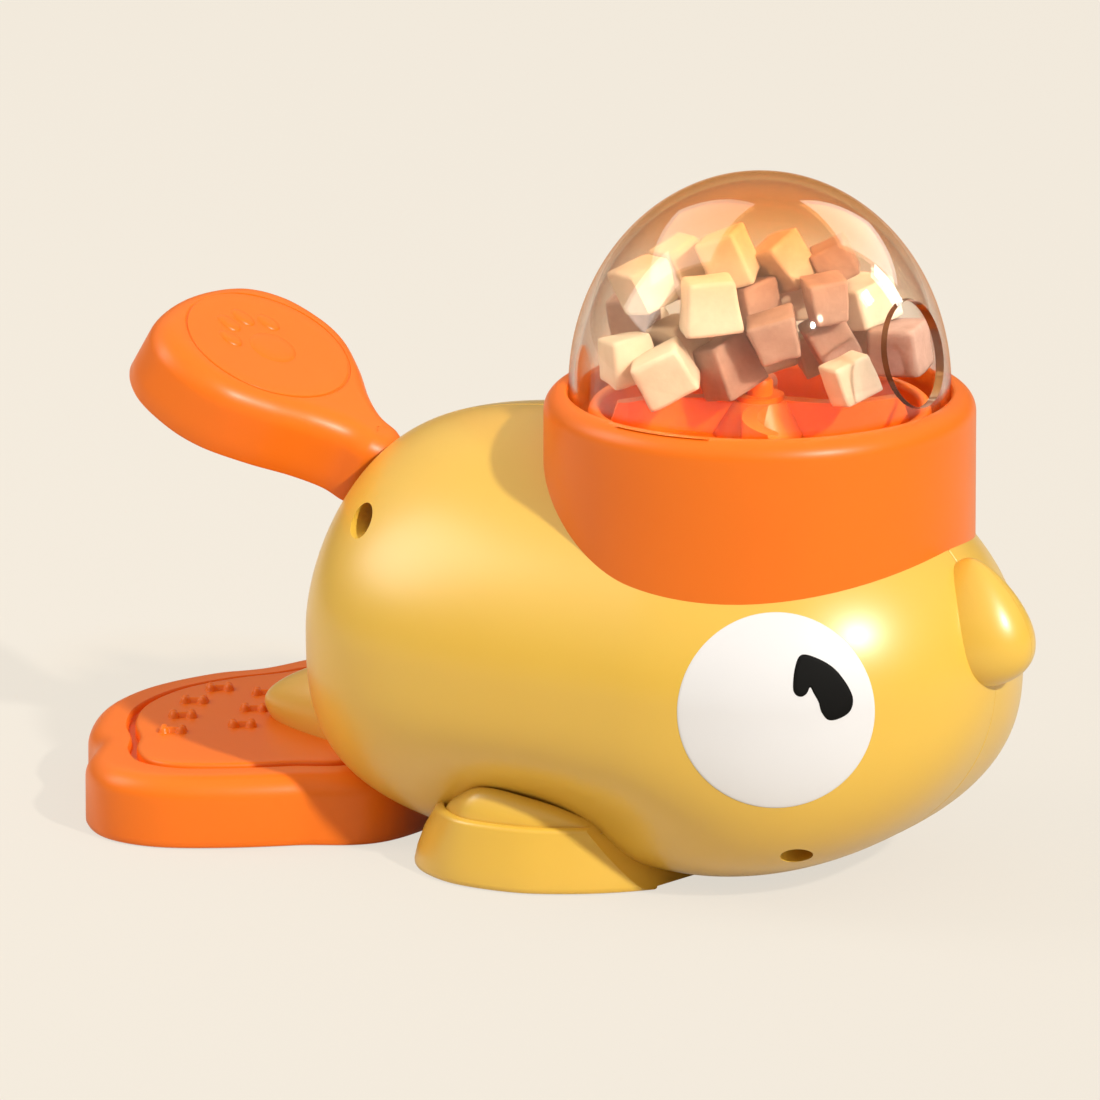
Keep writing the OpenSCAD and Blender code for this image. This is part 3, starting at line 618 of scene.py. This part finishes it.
def makeCollar():
    # profile carried round the hopper's axis; its lower edge follows the duck's back
    r, z, k = hopper["outer"], hopper["rim"], collarShape["round"]
    half = collarShape["notch"] / 2
    corners = [c + s * half + e for c in (90, 270) for s in (-1, 1) for e in (-0.25, 0.25)]
    t = np.radians(np.unique(np.concatenate([np.linspace(0, 360, 289), corners])))
    inNotch = np.abs(np.abs((np.degrees(t) % 360) - 180) - 90) < half
    low = skinTop(hopper["x"] + r * np.cos(t), r * np.sin(t)) - collarShape["sunk"]
    throat = hopper["throat"]
    wide = throat + collarShape["channel"]
    inner = np.where(inNotch, wide, throat)
    lip, channel, floor = z - collarShape["lip"], z - collarShape["channelTo"], collarShape["floor"]
    rows = [(r - 3, low), (r, low)] + [(r, low + (z - k - low) * s) for s in (0.2, 0.4, 0.6, 0.8, 1)]
    rows += [(r - d, h) for d, h in fillet(0, z - k, k, 8, 90, 12)]
    rows += [(inner + 0.6, z - 0.02), (inner + 0.15, z - 0.2), (inner, z - 0.6), (inner, lip)]
    rows += [(wide, lip), (wide, channel), (throat, channel), (throat, floor), (throat + 1.5, floor - 1)]
    p = np.stack([np.stack([hopper["x"] + q * np.cos(t), q * np.sin(t), h + 0 * t], -1) for q, h in rows])
    obj = gridObject("hopperCollar", [p], orange, 38)
    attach(obj, "base")
    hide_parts("collar")


domeShape = {"radius": 46, "height": 52, "wall": 2.2, "mid": 118.5, "foot": 108,
             "outlet": 13, "outletZ": 124.3, "outletTilt": 10,
             "lug": 24, "lugAt": (134, 314), "lugRadii": (45, 47.8), "lugHeights": (109.5, 113)}


def makeDome():
    # half-ellipse profile turned round the axis, inner skin then outer, then the outlet bored through
    t = np.linspace(0, 2 * np.pi, 161)
    a = np.linspace(0, np.pi / 2, 72)

    def skin(inner):
        r = (domeShape["radius"] - inner) * np.cos(a)
        z = domeShape["mid"] + (domeShape["height"] - inner) * np.sin(a)
        return r, z

    ro, zo = skin(0)
    ri, zi = skin(domeShape["wall"])
    foot = domeShape["foot"]
    wall = np.linspace(foot, domeShape["mid"], 6)[:-1]
    r = np.concatenate([ri[::-1], 0 * wall + ri[0], [ri[0] + 0.4, ro[0] - 0.4], 0 * wall + ro[0], ro])
    z = np.concatenate([zi[::-1], wall[::-1], [foot - 0.3] * 2, wall, zo])
    p = np.stack([hopper["x"] + r[:, None] * np.cos(t), r[:, None] * np.sin(t), z[:, None] + 0 * t], -1)
    obj = gridObject("clearDome", [p], clear, 50)
    k = math.radians(domeShape["outletTilt"])
    axis = np.array([math.cos(k), 0, math.sin(k)])
    start = np.array([hopper["x"] + 10, 0, domeShape["outletZ"] + 10 * math.tan(k)])
    carve(obj, rod(start, start + 80 * axis, domeShape["outlet"], 96), sharp=50)
    for c in domeShape["lugAt"]:
        carve(obj, lugBlock(c), "UNION", 50)
    # the outlet's cut faces take the painted-shade edge finish in place of clear plastic
    obj.data.materials.append(outletShadeAmber)
    for face in obj.data.polygons:
        d = np.array(face.center) / mm - start
        off = np.linalg.norm(d - axis * (d @ axis)) - domeShape["outlet"]
        if abs(off) < 0.1 and abs(np.array(face.normal) @ axis) < 0.1:
            face.material_index = 1
    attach(obj, "dome")
    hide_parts("dome")


def lugBlock(c):
    # arc-shaped block: radius by height, carried through an angle
    t = np.radians(np.linspace(c - domeShape["lug"] / 2, c + domeShape["lug"] / 2, 13))
    (near, far), (low, top) = domeShape["lugRadii"], domeShape["lugHeights"]
    corners = [(near, low), (far, low), (far, top), (near, top), (near, low)]
    p = np.stack([np.stack([hopper["x"] + r * np.cos(t), r * np.sin(t), z + 0 * t], -1) for r, z in corners])
    ends = [np.stack([p[0:2, j], p[[3, 2], j]]) for j in (0, -1)]
    return gridObject("lug", [p] + ends, None)


makeCollar()
makeDome()
print("collar and dome")


# treats

# places, listed one by one: picture right, picture up and towards the camera from the dome's middle, kind,
# yaw, roll
treatPile = {"edge": (10.6, 12.0), "ball": 0.58, "floor": 117.4, "seed": 5, "steps": 160, "clear": 1.3,
             "power": 20, "stretch": (0.84, 1.14), "lean": 0.12, "dents": (0.018, 0.01),
             "places": [(-12, 19, 14, 0, 38, 4), (-7.6, 30.5, 4, 0, 10, 24), (-27.7, 23, 6, 0, 55, 20),
                        (-30, 16, -2, 2, 15, 8), (-1.5, 20, 0, 2, 70, 12), (3.6, 11.5, 13, 2, 25, 18),
                        (6.3, 29, -2, 1, 62, 34), (15.8, 20.3, 8, 2, 40, 8), (18, 29, -4, 2, 20, 28),
                        (-8, 5, 4.5, 2, 60, 24), (-23.6, 3.3, 11, 0, 20, 30), (-30, 8, 3, 0, 48, 10),
                        (21.3, 1.3, 18, 0, 50, 22), (33.5, 12.2, -6, 2, 12, 4), (26.5, 19, -7, 0, 66, 14),
                        (17, 11, -1, 2, 33, 30), (-20, 10, 1, 1, 72, 16), (-13, 9, -14, 1, 22, 5),
                        (1, 9, -16, 0, 58, 12), (15, 9, -16, 1, 35, 20), (-25, 11, -17, 0, 15, 25),
                        (25, 11, -21, 1, 44, 9), (-7, 21, -17, 1, 64, 18), (9, 21, -15, 0, 28, 7),
                        (-18, 29, -6, 0, 50, 30)]}


def settleTreats():
    # balls of about a treat's size push apart inside the dome
    rng = np.random.default_rng(treatPile["seed"])
    chosen = np.array(treatPile["places"], float)
    edge = rng.uniform(*treatPile["edge"], len(chosen))
    ball = edge * treatPile["ball"]
    middle = np.array([hopper["x"], 0, domeShape["mid"]])
    p = chosen[:, :3] @ np.stack([right, up, toward])
    room = np.array([domeShape["radius"], domeShape["radius"], domeShape["height"]]) - domeShape["wall"]
    for k in range(treatPile["steps"]):
        d = p[:, None, :] - p[None, :, :]
        apart = np.linalg.norm(d, axis=2) + np.eye(len(p)) * 99
        push = np.maximum(0, ball[:, None] + ball[None, :] - apart)
        p += 0.2 * np.sum(d / apart[..., None] * push[..., None], axis=1)
        p[:, 2] = np.maximum(p[:, 2], treatPile["floor"] - domeShape["mid"] + ball)
        q = p / (room[None, :] - treatPile["clear"] * ball[:, None])
        r = np.linalg.norm(q, axis=1)
        p = np.where((r > 1)[:, None], p / r[:, None], p)
    return p + middle, edge, chosen[:, 3].astype(int), chosen[:, 4:], rng


def cubeSheets(power, cells):
    # superquadric cube: each face's grid pushed out to |x|^p + |y|^p + |z|^p = 1
    s = np.tan(np.linspace(-1, 1, cells) * math.pi / 4)
    a, b = np.meshgrid(s, s, indexing="ij")
    one = np.ones_like(a)
    faces = [(a, b, one), (a, -b, -one), (one, a, b), (-one, a, -b), (b, one, a), (-b, -one, a)]
    sides = [np.stack(c, -1) for c in faces]
    return [q / (np.sum(np.abs(q) ** power, -1, keepdims=True)) ** (1 / power) for q in sides]


def turnMatrix(yaw, roll):
    # roll about the picture's line of sight after a yaw about Z
    a, b = math.radians(yaw), math.radians(roll)
    z = np.array([[math.cos(a), -math.sin(a), 0], [math.sin(a), math.cos(a), 0], [0, 0, 1]])
    k = np.array([[0, -toward[2], toward[1]], [toward[2], 0, -toward[0]], [-toward[1], toward[0], 0]])
    return (np.eye(3) + math.sin(b) * k + (1 - math.cos(b)) * k @ k) @ z


def makeTreats():
    place, edge, kinds, turns, rng = settleTreats()
    sheets = cubeSheets(treatPile["power"], 18)
    deep, fine = treatPile["dents"]
    groups = [[], [], []]
    for c, e, kind, (yaw, roll) in zip(place, edge, kinds, turns):
        m = turnMatrix(yaw, roll)
        size = e / 2 * rng.uniform(*treatPile["stretch"], 3)
        wob = rng.uniform(0, 6.28, 3)
        lean = rng.uniform(-treatPile["lean"], treatPile["lean"], 3)
        for s in sheets:
            dent = deep * np.sin(3.1 * s[..., 0] + wob[0]) * np.sin(2.7 * s[..., 1] + wob[1])
            dent = dent + fine * np.sin(4 * s[..., 2] + wob[2])
            q = s * size * (1 + dent[..., None]) * (1 + lean * np.roll(s, 1, -1))
            groups[kind].append(q @ m.T + c)
    for name, look, g in zip(("treatsCream", "treatsTan", "treatsBrown"), treatLooks, groups):
        obj = gridObject(name, g, look, 70)
        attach(obj, "rotor")


makeTreats()
print("treats")


# foot

# half outlines and bone places are back (negative) and across from the rear of the body
footShape = {"height": 17.5, "round": 5.5, "groove": 2.0, "grooveDepth": 2.4, "proud": 0.5, "middle": -22,
             "half": [[26, -28], [7, -46], [-9, -58], [-23, -64.5], [-36.5, -63.5], [-47.5, -54], [-54, -39],
                      [-62, -29], [-68.5, -14]], "tip": -70.4,
             "tread": [[14, -22], [-1, -36], [-14, -46], [-24, -51], [-32.5, -50], [-39.5, -43],
                       [-44.5, -33.5], [-51.5, -24], [-57, -12]], "treadTip": -58.6,
             "sole": [(14, 0.4), (3, 0.4), (2.4, 0.0), (1.2, 0.0), (0.4, 0.3), (0.05, 0.9), (0, 2), (0, 6)],
             "boneTurn": 30, "boneSway": 7,
             "bones": [[-39, -27], [-44, -14], [-48.5, -1], [-49, 12], [-27, -14], [-32, 0], [-37, 14],
                       [-35, 28], [-22, 30], [-18, 43]]}
bone = {"long": 3.9, "wide": 2.5, "bar": 0.95, "barTo": 2.1, "ball": 1.25, "ballAt": (2.2, 0.85),
        "rise": 1.35}


def wholeRing(half, tip):
    # half an outline and its mirror image, joined at the tip
    half = np.array(half, float)
    ring = np.vstack([half * [1, -1], [[tip, 0]], half[::-1]])
    return closedCurve(ring, 14) + np.array([rearX, 0])


footOutline = wholeRing(footShape["half"], footShape["tip"])
treadOutline = wholeRing(footShape["tread"], footShape["treadTip"])


def toMiddle(rows, centre, steps=5):
    # closes the last row towards a centre, keeping its height
    last = rows[-1]
    s = np.linspace(0, 1, steps + 1)[1:, None, None]
    middle = np.array([centre[0], centre[1], last[0, 2]])
    return np.concatenate([rows, last[None] * (1 - s) + middle * s])


def closedBlock(rows, centre):
    # rows closed towards a centre at the top and at the bottom
    top = toMiddle(rows, centre)
    return np.concatenate([toMiddle(top[:1], centre)[:0:-1], top])


def makeFoot():
    h, k = footShape["height"], footShape["round"]
    g, d = footShape["groove"], footShape["grooveDepth"]
    middle = (rearX + footShape["middle"], 0)
    wall = stackRows(footOutline, footShape["sole"] + fillet(0, h - k, k, 0, 90, 12))
    rows = [(-g - 1, h), (-g - 0.3, h - 0.1), (-g, h - 0.5), (0.05 - g, h - d + 0.4), (0.4 - g, h - d)]
    p = np.concatenate([wall, stackRows(treadOutline, rows + [(1.5, h - d)])])
    obj = gridObject("webbedFoot", [closedBlock(p, middle)], orange, 38)
    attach(obj, "base")
    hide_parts("foot")
    top = h + footShape["proud"]
    rows = [(0, h - d), (0, h - 0.5), (0.1, h - 0.1), (0.4, h + 0.25), (0.9, h + 0.42), (2, top)]
    t = gridObject("footTread", [toMiddle(stackRows(treadOutline, rows), middle, 8)], orange, 38)
    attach(t, "base")
    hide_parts("foot_tread")
    bones = []
    for x, y in footShape["bones"]:
        turn = footShape["boneTurn"] + footShape["boneSway"] * math.sin(7 * y)
        bones.append(boneBump(x + rearX, y, top, turn))
    b = gridObject("footBones", bones, orange, 60)
    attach(b, "base")
    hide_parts("foot_bones")


def boneBump(x, y, z, turn):
    # height of a bone: a bar and four balls, taken where each is highest, then softened
    along = np.linspace(-bone["long"], bone["long"], 45)
    across = np.linspace(-bone["wide"], bone["wide"], 29)
    u, v = np.meshgrid(along, across, indexing="ij")
    h = np.sqrt(np.maximum(0, bone["bar"] ** 2 - v ** 2)) * (np.abs(u) < bone["barTo"])
    ballU, ballV = bone["ballAt"]
    for cu in (-ballU, ballU):
        for cv in (-ballV, ballV):
            h = np.maximum(h, np.sqrt(np.maximum(0, bone["ball"] ** 2 - (u - cu) ** 2 - (v - cv) ** 2)))
    h = (h + np.roll(h, 1, 0) + np.roll(h, -1, 0) + np.roll(h, 1, 1) + np.roll(h, -1, 1)) / 5 * bone["rise"]
    h = np.where(h < 0.05, -0.3, h)
    a = math.radians(turn)
    px = x + u * math.cos(a) - v * math.sin(a)
    py = y + u * math.sin(a) + v * math.cos(a)
    return np.stack([px, py, z + h], -1)


makeFoot()
print("foot")


# wings

# plan, cap and cut of the right wing, measured from under the hopper's axis
wingShape = {"height": 16, "lip": 1.5, "middle": (-38, -40), "lean": 4.2, "leanFrom": -48, "leanTo": -69,
             "plan": [[-69, -37], [-67, -47], [-54, -54.5], [-38, -54.5], [-26, -49.6], [-15, -41.5],
                      [-5, -30], [2, -19], [-10, -17], [-27, -26], [-49, -31]],
             "wall": [(1.0, 0.5), (0.5, 0.1), (0.1, 0), (-0.8, 0.3), (-1.2, 0.9), (-1.3, 1.7), (-0.9, 5),
                      (-0.2, 10)], "step": 0.6,
             "capEdge": [[-68, -37.6, 15.4], [-66.2, -46, 15.4], [-54, -53.4, 15.4], [-38, -53.4, 15.4],
                         [-27, -49.2, 15.4], [-17, -42, 15.4]], "capIn": 1.9, "capRoot": 12,
             "capRidge": [[-66.5, -36.5, 16.2], [-58.5, -43.5, 20.6], [-48, -48, 23.2], [-38, -47, 22],
                          [-29, -44.5, 19.6], [-17, -40, 14.4]],
             "cutAt": (-8.0, -30.4, 0), "cutFacing": (1, -0.217, 0.668), "capCut": -0.4}


def planeCut(obj, place, facing, sharp):
    # takes off what lies beyond a plane and closes the cut
    b = bmesh.new()
    b.from_mesh(obj.data)
    cut = bmesh.ops.bisect_plane(b, geom=b.verts[:] + b.edges[:] + b.faces[:], plane_co=Vector(place) * mm,
                                 plane_no=Vector(facing), clear_outer=True)
    edges = [e for e in cut["geom_cut"] if isinstance(e, bmesh.types.BMEdge)]
    bmesh.ops.triangle_fill(b, use_beauty=True, edges=edges)
    bmesh.ops.recalc_face_normals(b, faces=b.faces)
    b.to_mesh(obj.data)
    b.free()
    smooth(obj.data, sharp)


def wingLean(p):
    # rear end drawn forward with height: dx = lean (z / h)^2 w(x), w eased from 0 to 1 over the end
    start, stop = wingShape["leanFrom"], wingShape["leanTo"]
    w = np.clip((p[..., 0] - hopper["x"] - start) / (stop - start), 0, 1)
    q = p.copy()
    q[..., 0] += wingShape["lean"] * (p[..., 2] / wingShape["height"]) ** 2 * w * w * (3 - 2 * w)
    return q


def capSheets(origin, middle):
    # pillow from its edge up to its ridge, a hollow under it, and its two ends
    line = np.linspace(0, len(wingShape["capEdge"]) - 1, 81)
    low, top = [np.stack([smoothLine(line, np.array(c, float)[:, i]) for i in range(3)], -1) + origin
                for c in (wingShape["capEdge"], wingShape["capRidge"])]
    inward = middle - low[:, :2]
    low[:, :2] += wingShape["capIn"] * inward / np.linalg.norm(inward, axis=1)[:, None]
    a = np.radians(np.linspace(0, 90, 16))[:, None, None]
    plane = low[..., :2] + (top[..., :2] - low[..., :2]) * (1 - np.cos(a)) ** 0.9
    rise = low[:, 2:] + (top[:, 2:] - low[:, 2:]) * np.sin(a)
    pillow = np.concatenate([plane, rise], -1)
    level, root = np.array([1, 1, 0]), wingShape["capRoot"]
    under = np.stack([top + [0, 0.5, -0.4], top + [0, 0.8, -1.2], top * level + [0, 2, root],
                      top * level + [0, 4, root - 1]])
    base = np.stack([low * level + [0, 0, root], low])
    q = np.concatenate([under[::-1], pillow[::-1], base[::-1]])
    q = wingLean(np.concatenate([q, q[:1]]))
    ends = [np.stack([q[:, j], np.tile(q[:-1, j].mean(0), (len(q), 1))]) for j in (0, -1)]
    return [q] + ends


def makeWing(side):
    # block with an outer wall and a step along its top, a cap above a groove, one slanting cut in front
    h, k = wingShape["height"], wingShape["lip"]
    origin = np.array([hopper["x"], 0, 0])
    middle = np.array(wingShape["middle"]) + origin[:2]
    plan = closedCurve(wingShape["plan"], 16) + origin[:2]
    rows = wingShape["wall"] + [(wingShape["step"] + d, z) for d, z in fillet(0, h - k, k, 0, 90, 7)]
    rows = rows + [(2.4, h), (2.6, h - 0.2), (2.7, h - 0.5), (2.7, h - 2)]
    p = wingLean(closedBlock(stackRows(plan, rows), middle))
    name = "Right" if side < 0 else "Left"
    turn = np.array([1, -side, 1])
    front = np.array(wingShape["cutAt"]) + origin
    facing = np.array(wingShape["cutFacing"])
    obj = gridObject("wing" + name, mirrored([p], -side), yellow, 32)
    planeCut(obj, front * turn, facing * turn, 32)
    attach(obj, "base")
    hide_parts("wing_" + name.lower())
    c = gridObject("wingCap" + name, mirrored(capSheets(origin, middle), -side), yellow, 40)
    planeCut(c, (front + [wingShape["capCut"], 0, 0]) * turn, facing * turn, 40)
    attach(c, "base")
    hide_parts("wing_cap_" + name.lower())


makeWing(-1)
makeWing(1)
print("wings")


# paddle

# outline, panel and pads in the lever's frame: outward from the pivot, across, up
paddleShape = {"top": 2.5, "low": -15.5, "round": 6.5, "tip": 82.6, "root": 12, "spine": (22, 56),
               "half": [[13.3, -5], [18, -8.7], [24, -9.8], [31, -14.6], [39.5, -22.8], [49.5, -30],
                        [59.5, -31.8], [71, -28.6], [79.5, -18.5]],
               "panel": (20.5, 24), "panelAt": 57, "groove": 0.42,
               "panelRows": [(0.99, -0.5), (0.99, -0.05), (0.985, 0.06), (0.97, 0.1), (0.8, 0.12),
                             (0.6, 0.13), (0.4, 0.14), (0.2, 0.15), (0, 0.15)],
               "pads": [(0, -2.5, 5.2, 4.4), (-6.6, 3.0, 1.9, 2.5), (-2.4, 6.2, 1.9, 2.6),
                        (2.4, 6.2, 1.9, 2.6), (6.6, 3.0, 1.9, 2.5)],
               "padScale": 1.35, "padRise": 0.75, "pawAt": 59}


def onLever(p):
    # paddle's own frame (outward, across, up) to the world, at rest
    q = np.stack([-p[..., 0], -p[..., 1], p[..., 2]], -1)
    return turnY(q, pivot["tilt"]) + np.array([pivot["x"], 0, pivot["z"]])


def makePaddle():
    half = np.array(paddleShape["half"])
    ring = [half, [[paddleShape["tip"], 0]], half[::-1] * [1, -1], [[paddleShape["root"], 0]]]
    line = closedCurve(np.vstack(ring), 12)
    low, top, k = paddleShape["low"], paddleShape["top"], paddleShape["round"]
    rows = [(2.4, low + 2.5), (2.4, low + 0.3), (2.1, low), (1.0, low), (0.3, low + 0.3), (0, low + 1)]
    rows += [(0.15, low + 5)] + [(d + 0.4, z) for d, z in fillet(0, top - k, k, 0, 90, 14)]
    p = stackRows(line, rows)
    last = p[-1]
    spine = np.stack([np.clip(last[:, 0], *paddleShape["spine"]), 0 * last[:, 0], last[:, 2]], -1)
    s = np.linspace(0, 1, 6)[1:, None, None]
    p = np.concatenate([p, last[None] * (1 - s) + spine[None] * s])
    obj = gridObject("pressPaddle", [onLever(p)], orange, 40)
    t = np.linspace(0, 2 * np.pi, 145)
    w = np.linspace(0, 2 * np.pi, 9)[:, None]
    a, b = paddleShape["panel"]
    at, g = paddleShape["panelAt"], paddleShape["groove"]
    q = np.stack([at + (a + g * np.cos(w)) * np.cos(t), (b + g * np.cos(w)) * np.sin(t),
                  top + g * np.sin(w) + 0 * t], -1)
    carve(obj, gridObject("groove", [onLever(q)], None))
    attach(obj, "paddle")
    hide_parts("paddle")
    q = np.stack([np.stack([at + r * a * np.cos(t), r * b * np.sin(t), top + z + 0 * t], -1)
                  for r, z in paddleShape["panelRows"]])
    panel = gridObject("paddlePanel", [onLever(q)], orange, 50)
    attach(panel, "paddle")
    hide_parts("paddle_panel")
    r = np.linspace(0, 1, 12)[:, None]
    size = paddleShape["padScale"]
    sheets = []
    for cx, cy, rx, ry in paddleShape["pads"]:
        u, v = cx + rx * r * np.cos(t), cy + ry * r * np.sin(t)
        z = top + 0.05 + paddleShape["padRise"] * np.sqrt(np.maximum(0, 1 - r ** 3)) + 0 * u
        sheets.append(onLever(np.stack([paddleShape["pawAt"] + v * size, u * size, z], -1)))
    paw = gridObject("pawBoss", sheets, orange, 60)
    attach(paw, "paddle")


makePaddle()
print("paddle")


# return spring

spring = {"radius": 4, "wire": 0.7, "coils": 6, "keep": 0.6}


def makeSpring():
    # helix of a round wire, flat at both ends, built at its rest length; in use the spring is pressed
    # shorter as the paddle goes down
    low, high = [np.array(c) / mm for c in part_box("return_spring")]
    middle = (low + high) / 2
    t = np.linspace(0, 1, spring["coils"] * 40 + 1)[:, None]
    a = 2 * np.pi * spring["coils"] * t
    climb = np.clip((t * spring["coils"] - 1) / (spring["coils"] - 2), 0, 1)
    z = low[2] + spring["wire"] + climb * (high[2] - low[2] - 2 * spring["wire"])
    w = np.linspace(0, 2 * np.pi, 13)[None, :]
    r = spring["radius"] + spring["wire"] * np.cos(w)
    p = np.stack([middle[0] + r * np.cos(a), middle[1] + r * np.sin(a), z + spring["wire"] * np.sin(w)], -1)
    ends = [np.stack([p[j], np.tile(p[j, :-1].mean(0), (13, 1))]) for j in (0, -1)]
    obj = gridObject("coilSpring", [p] + ends, steel, 60)
    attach(obj, "base")
    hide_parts("return_spring")
    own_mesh(obj)


makeSpring()
print("spring")


# finishes on the pieces that keep their CAD form

keepLook = {"steel": ("case_screws", "pivot_pin", "foot_screws", "bowl_screws", "chassis_screws",
                      "paddle_screws", "rotor_shaft", "shaft_ring"),
            "orange": ("foot_sole", "bowl", "rotor", "rotor_knob", "paddle_base"),
            "white": ("bowl_bush", "chassis_bush", "pinion", "rack"), "grey": ("chassis", "lever")}
looks = {"steel": steel, "orange": orange, "white": whiteAcetal, "grey": greyNylon}
for look, names in keepLook.items():
    for name in names:
        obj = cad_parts[name]
        obj.data.materials.clear()
        obj.data.materials.append(looks[look])


# room, light and camera

# fill and panels in watts, the key in watts per square metre
# the ways to the lamps are picture right, picture up and towards the camera
studio = {"floor": (0.888, 0.831, 0.738), "bounce": 0.67, "glow": 1.08, "glowShare": 0.74, "gloss": 0.3,
          "sky": 0.70, "horizon": 0.08, "through": 0.6, "air": (1.0, 0.91, 0.79),
          "key": 2.75, "keyFrom": (0.52, 0.375, 0.765), "keyAngle": 2.5, "warm": (1.0, 0.95, 0.88),
          "fill": 3.4, "fillFrom": (-0.85, 0.6, 0.1), "fillSize": (0.5, 0.5), "window": (1.0, 0.98, 0.95)}
panels = {"sideWindow": {"way": (0.855, 0.471, -0.217), "distance": 0.6, "size": (0.08, 0.2), "power": 0.75},
          "backPanel": {"way": (0.571, 0.713, -0.406), "distance": 0.8, "size": (0.44, 0.44), "power": 2.4},
          "topPanel": {"way": (-0.489, 0.867, -0.108), "distance": 0.7, "size": (0.6, 0.46), "power": 2.6},
          "sidePane": {"way": (0.845, 0.50, 0.16), "distance": 0.6, "size": (0.06, 0.06), "power": 0.2}}
view = {"lens": 600, "sensor": 36, "distance": 4.443, "clip": 50}


def makeRoom():
    # paper that glows evenly to the camera and still takes the shadows, under a soft sky
    s = 12000
    p = np.array([[[-s, -s, -0.1], [-s, s, -0.1]], [[s, -s, -0.1], [s, s, -0.1]]], float)
    f = Finish("paperFloor")
    dim = [c * studio["bounce"] for c in studio["floor"]]
    paper = f.make("ShaderNodeBsdfDiffuse", {}, {"Color": rgba(*dim)})
    glow = f.make("ShaderNodeEmission", {}, {"Color": rgba(*studio["floor"]), "Strength": studio["glow"]})
    camera, through, glossy = [f.make("ShaderNodeLightPath", {}, {}, ray)
                               for ray in ("Is Camera Ray", "Is Transmission Ray", "Is Glossy Ray")]
    seen = (camera + through + studio["gloss"] * glossy) * studio["glowShare"]
    look = f.done(f.make("ShaderNodeMixShader", {}, {0: seen, 1: paper, 2: glow}))
    floor = gridObject("paperFloor", [p], look)
    world = bpy.data.worlds.new("studio")
    bpy.context.scene.world = world
    w = Finish("studio", world)
    height = w.make("ShaderNodeSeparateXYZ", {}, {"Vector": w.coords}, "Z")
    level = w.make("ShaderNodeMapRange", {"interpolation_type": "SMOOTHSTEP"}, {
        "Value": height, "From Min": 0.0, "From Max": 0.75,
        "To Min": studio["horizon"], "To Max": studio["sky"]})
    clearView = studio["through"] * w.make("ShaderNodeLightPath", {}, {}, "Is Transmission Ray")
    sky = w.make("ShaderNodeBackground", {}, {"Color": rgba(*studio["air"]), "Strength": level + clearView})
    w.done(sky, "ShaderNodeOutputWorld")


def fromPicture(way):
    # picture right, picture up and towards the camera, as a direction in the world
    return right * way[0] + up * way[1] + toward * way[2]


def lamp(name, kind, power, place, aim, size, colour):
    d = bpy.data.lights.new(name, kind)
    d.energy = power
    d.color = colour
    if kind == "AREA":
        d.shape = "RECTANGLE"
        d.size, d.size_y = size
    else:
        d.angle = size
    o = bpy.data.objects.new(name, d)
    bpy.context.scene.collection.objects.link(o)
    o.location = tuple(place)
    o.rotation_euler = (Vector(aim) - Vector(place)).to_track_quat("-Z", "Y").to_euler()
    return o


def makeLights():
    # hard key from the right, a fill from the left, and panels that show as windows in the dome
    keyPlace = target + fromPicture(studio["keyFrom"]) * 2
    lamp("key", "SUN", studio["key"], keyPlace, target, math.radians(studio["keyAngle"]), studio["warm"])
    dome = np.array([hopper["x"], 0, domeShape["mid"]]) * mm
    onlyDome = bpy.data.collections.new("onlyDome")
    onlyDome.objects.link(bpy.data.objects["clearDome"])
    for name, panel in panels.items():
        place = dome + fromPicture(panel["way"]) * panel["distance"]
        o = lamp(name, "AREA", panel["power"], place, dome, panel["size"], studio["window"])
        o.light_linking.receiver_collection = onlyDome
    place = target + fromPicture(studio["fillFrom"])
    lamp("leftFill", "AREA", studio["fill"], place, target, studio["fillSize"], studio["warm"])


def makeCamera():
    c = bpy.data.cameras.new("camera")
    c.lens = view["lens"]
    c.sensor_width = view["sensor"]
    c.clip_end = view["clip"]
    o = bpy.data.objects.new("camera", c)
    bpy.context.scene.collection.objects.link(o)
    o.location = tuple(target + toward * view["distance"])
    o.rotation_euler = (-Vector(toward)).to_track_quat("-Z", "Y").to_euler()
    bpy.context.scene.camera = o


makeRoom()
makeLights()
makeCamera()
bpy.context.scene.view_settings.view_transform = "Standard"
print("room, lights, camera")
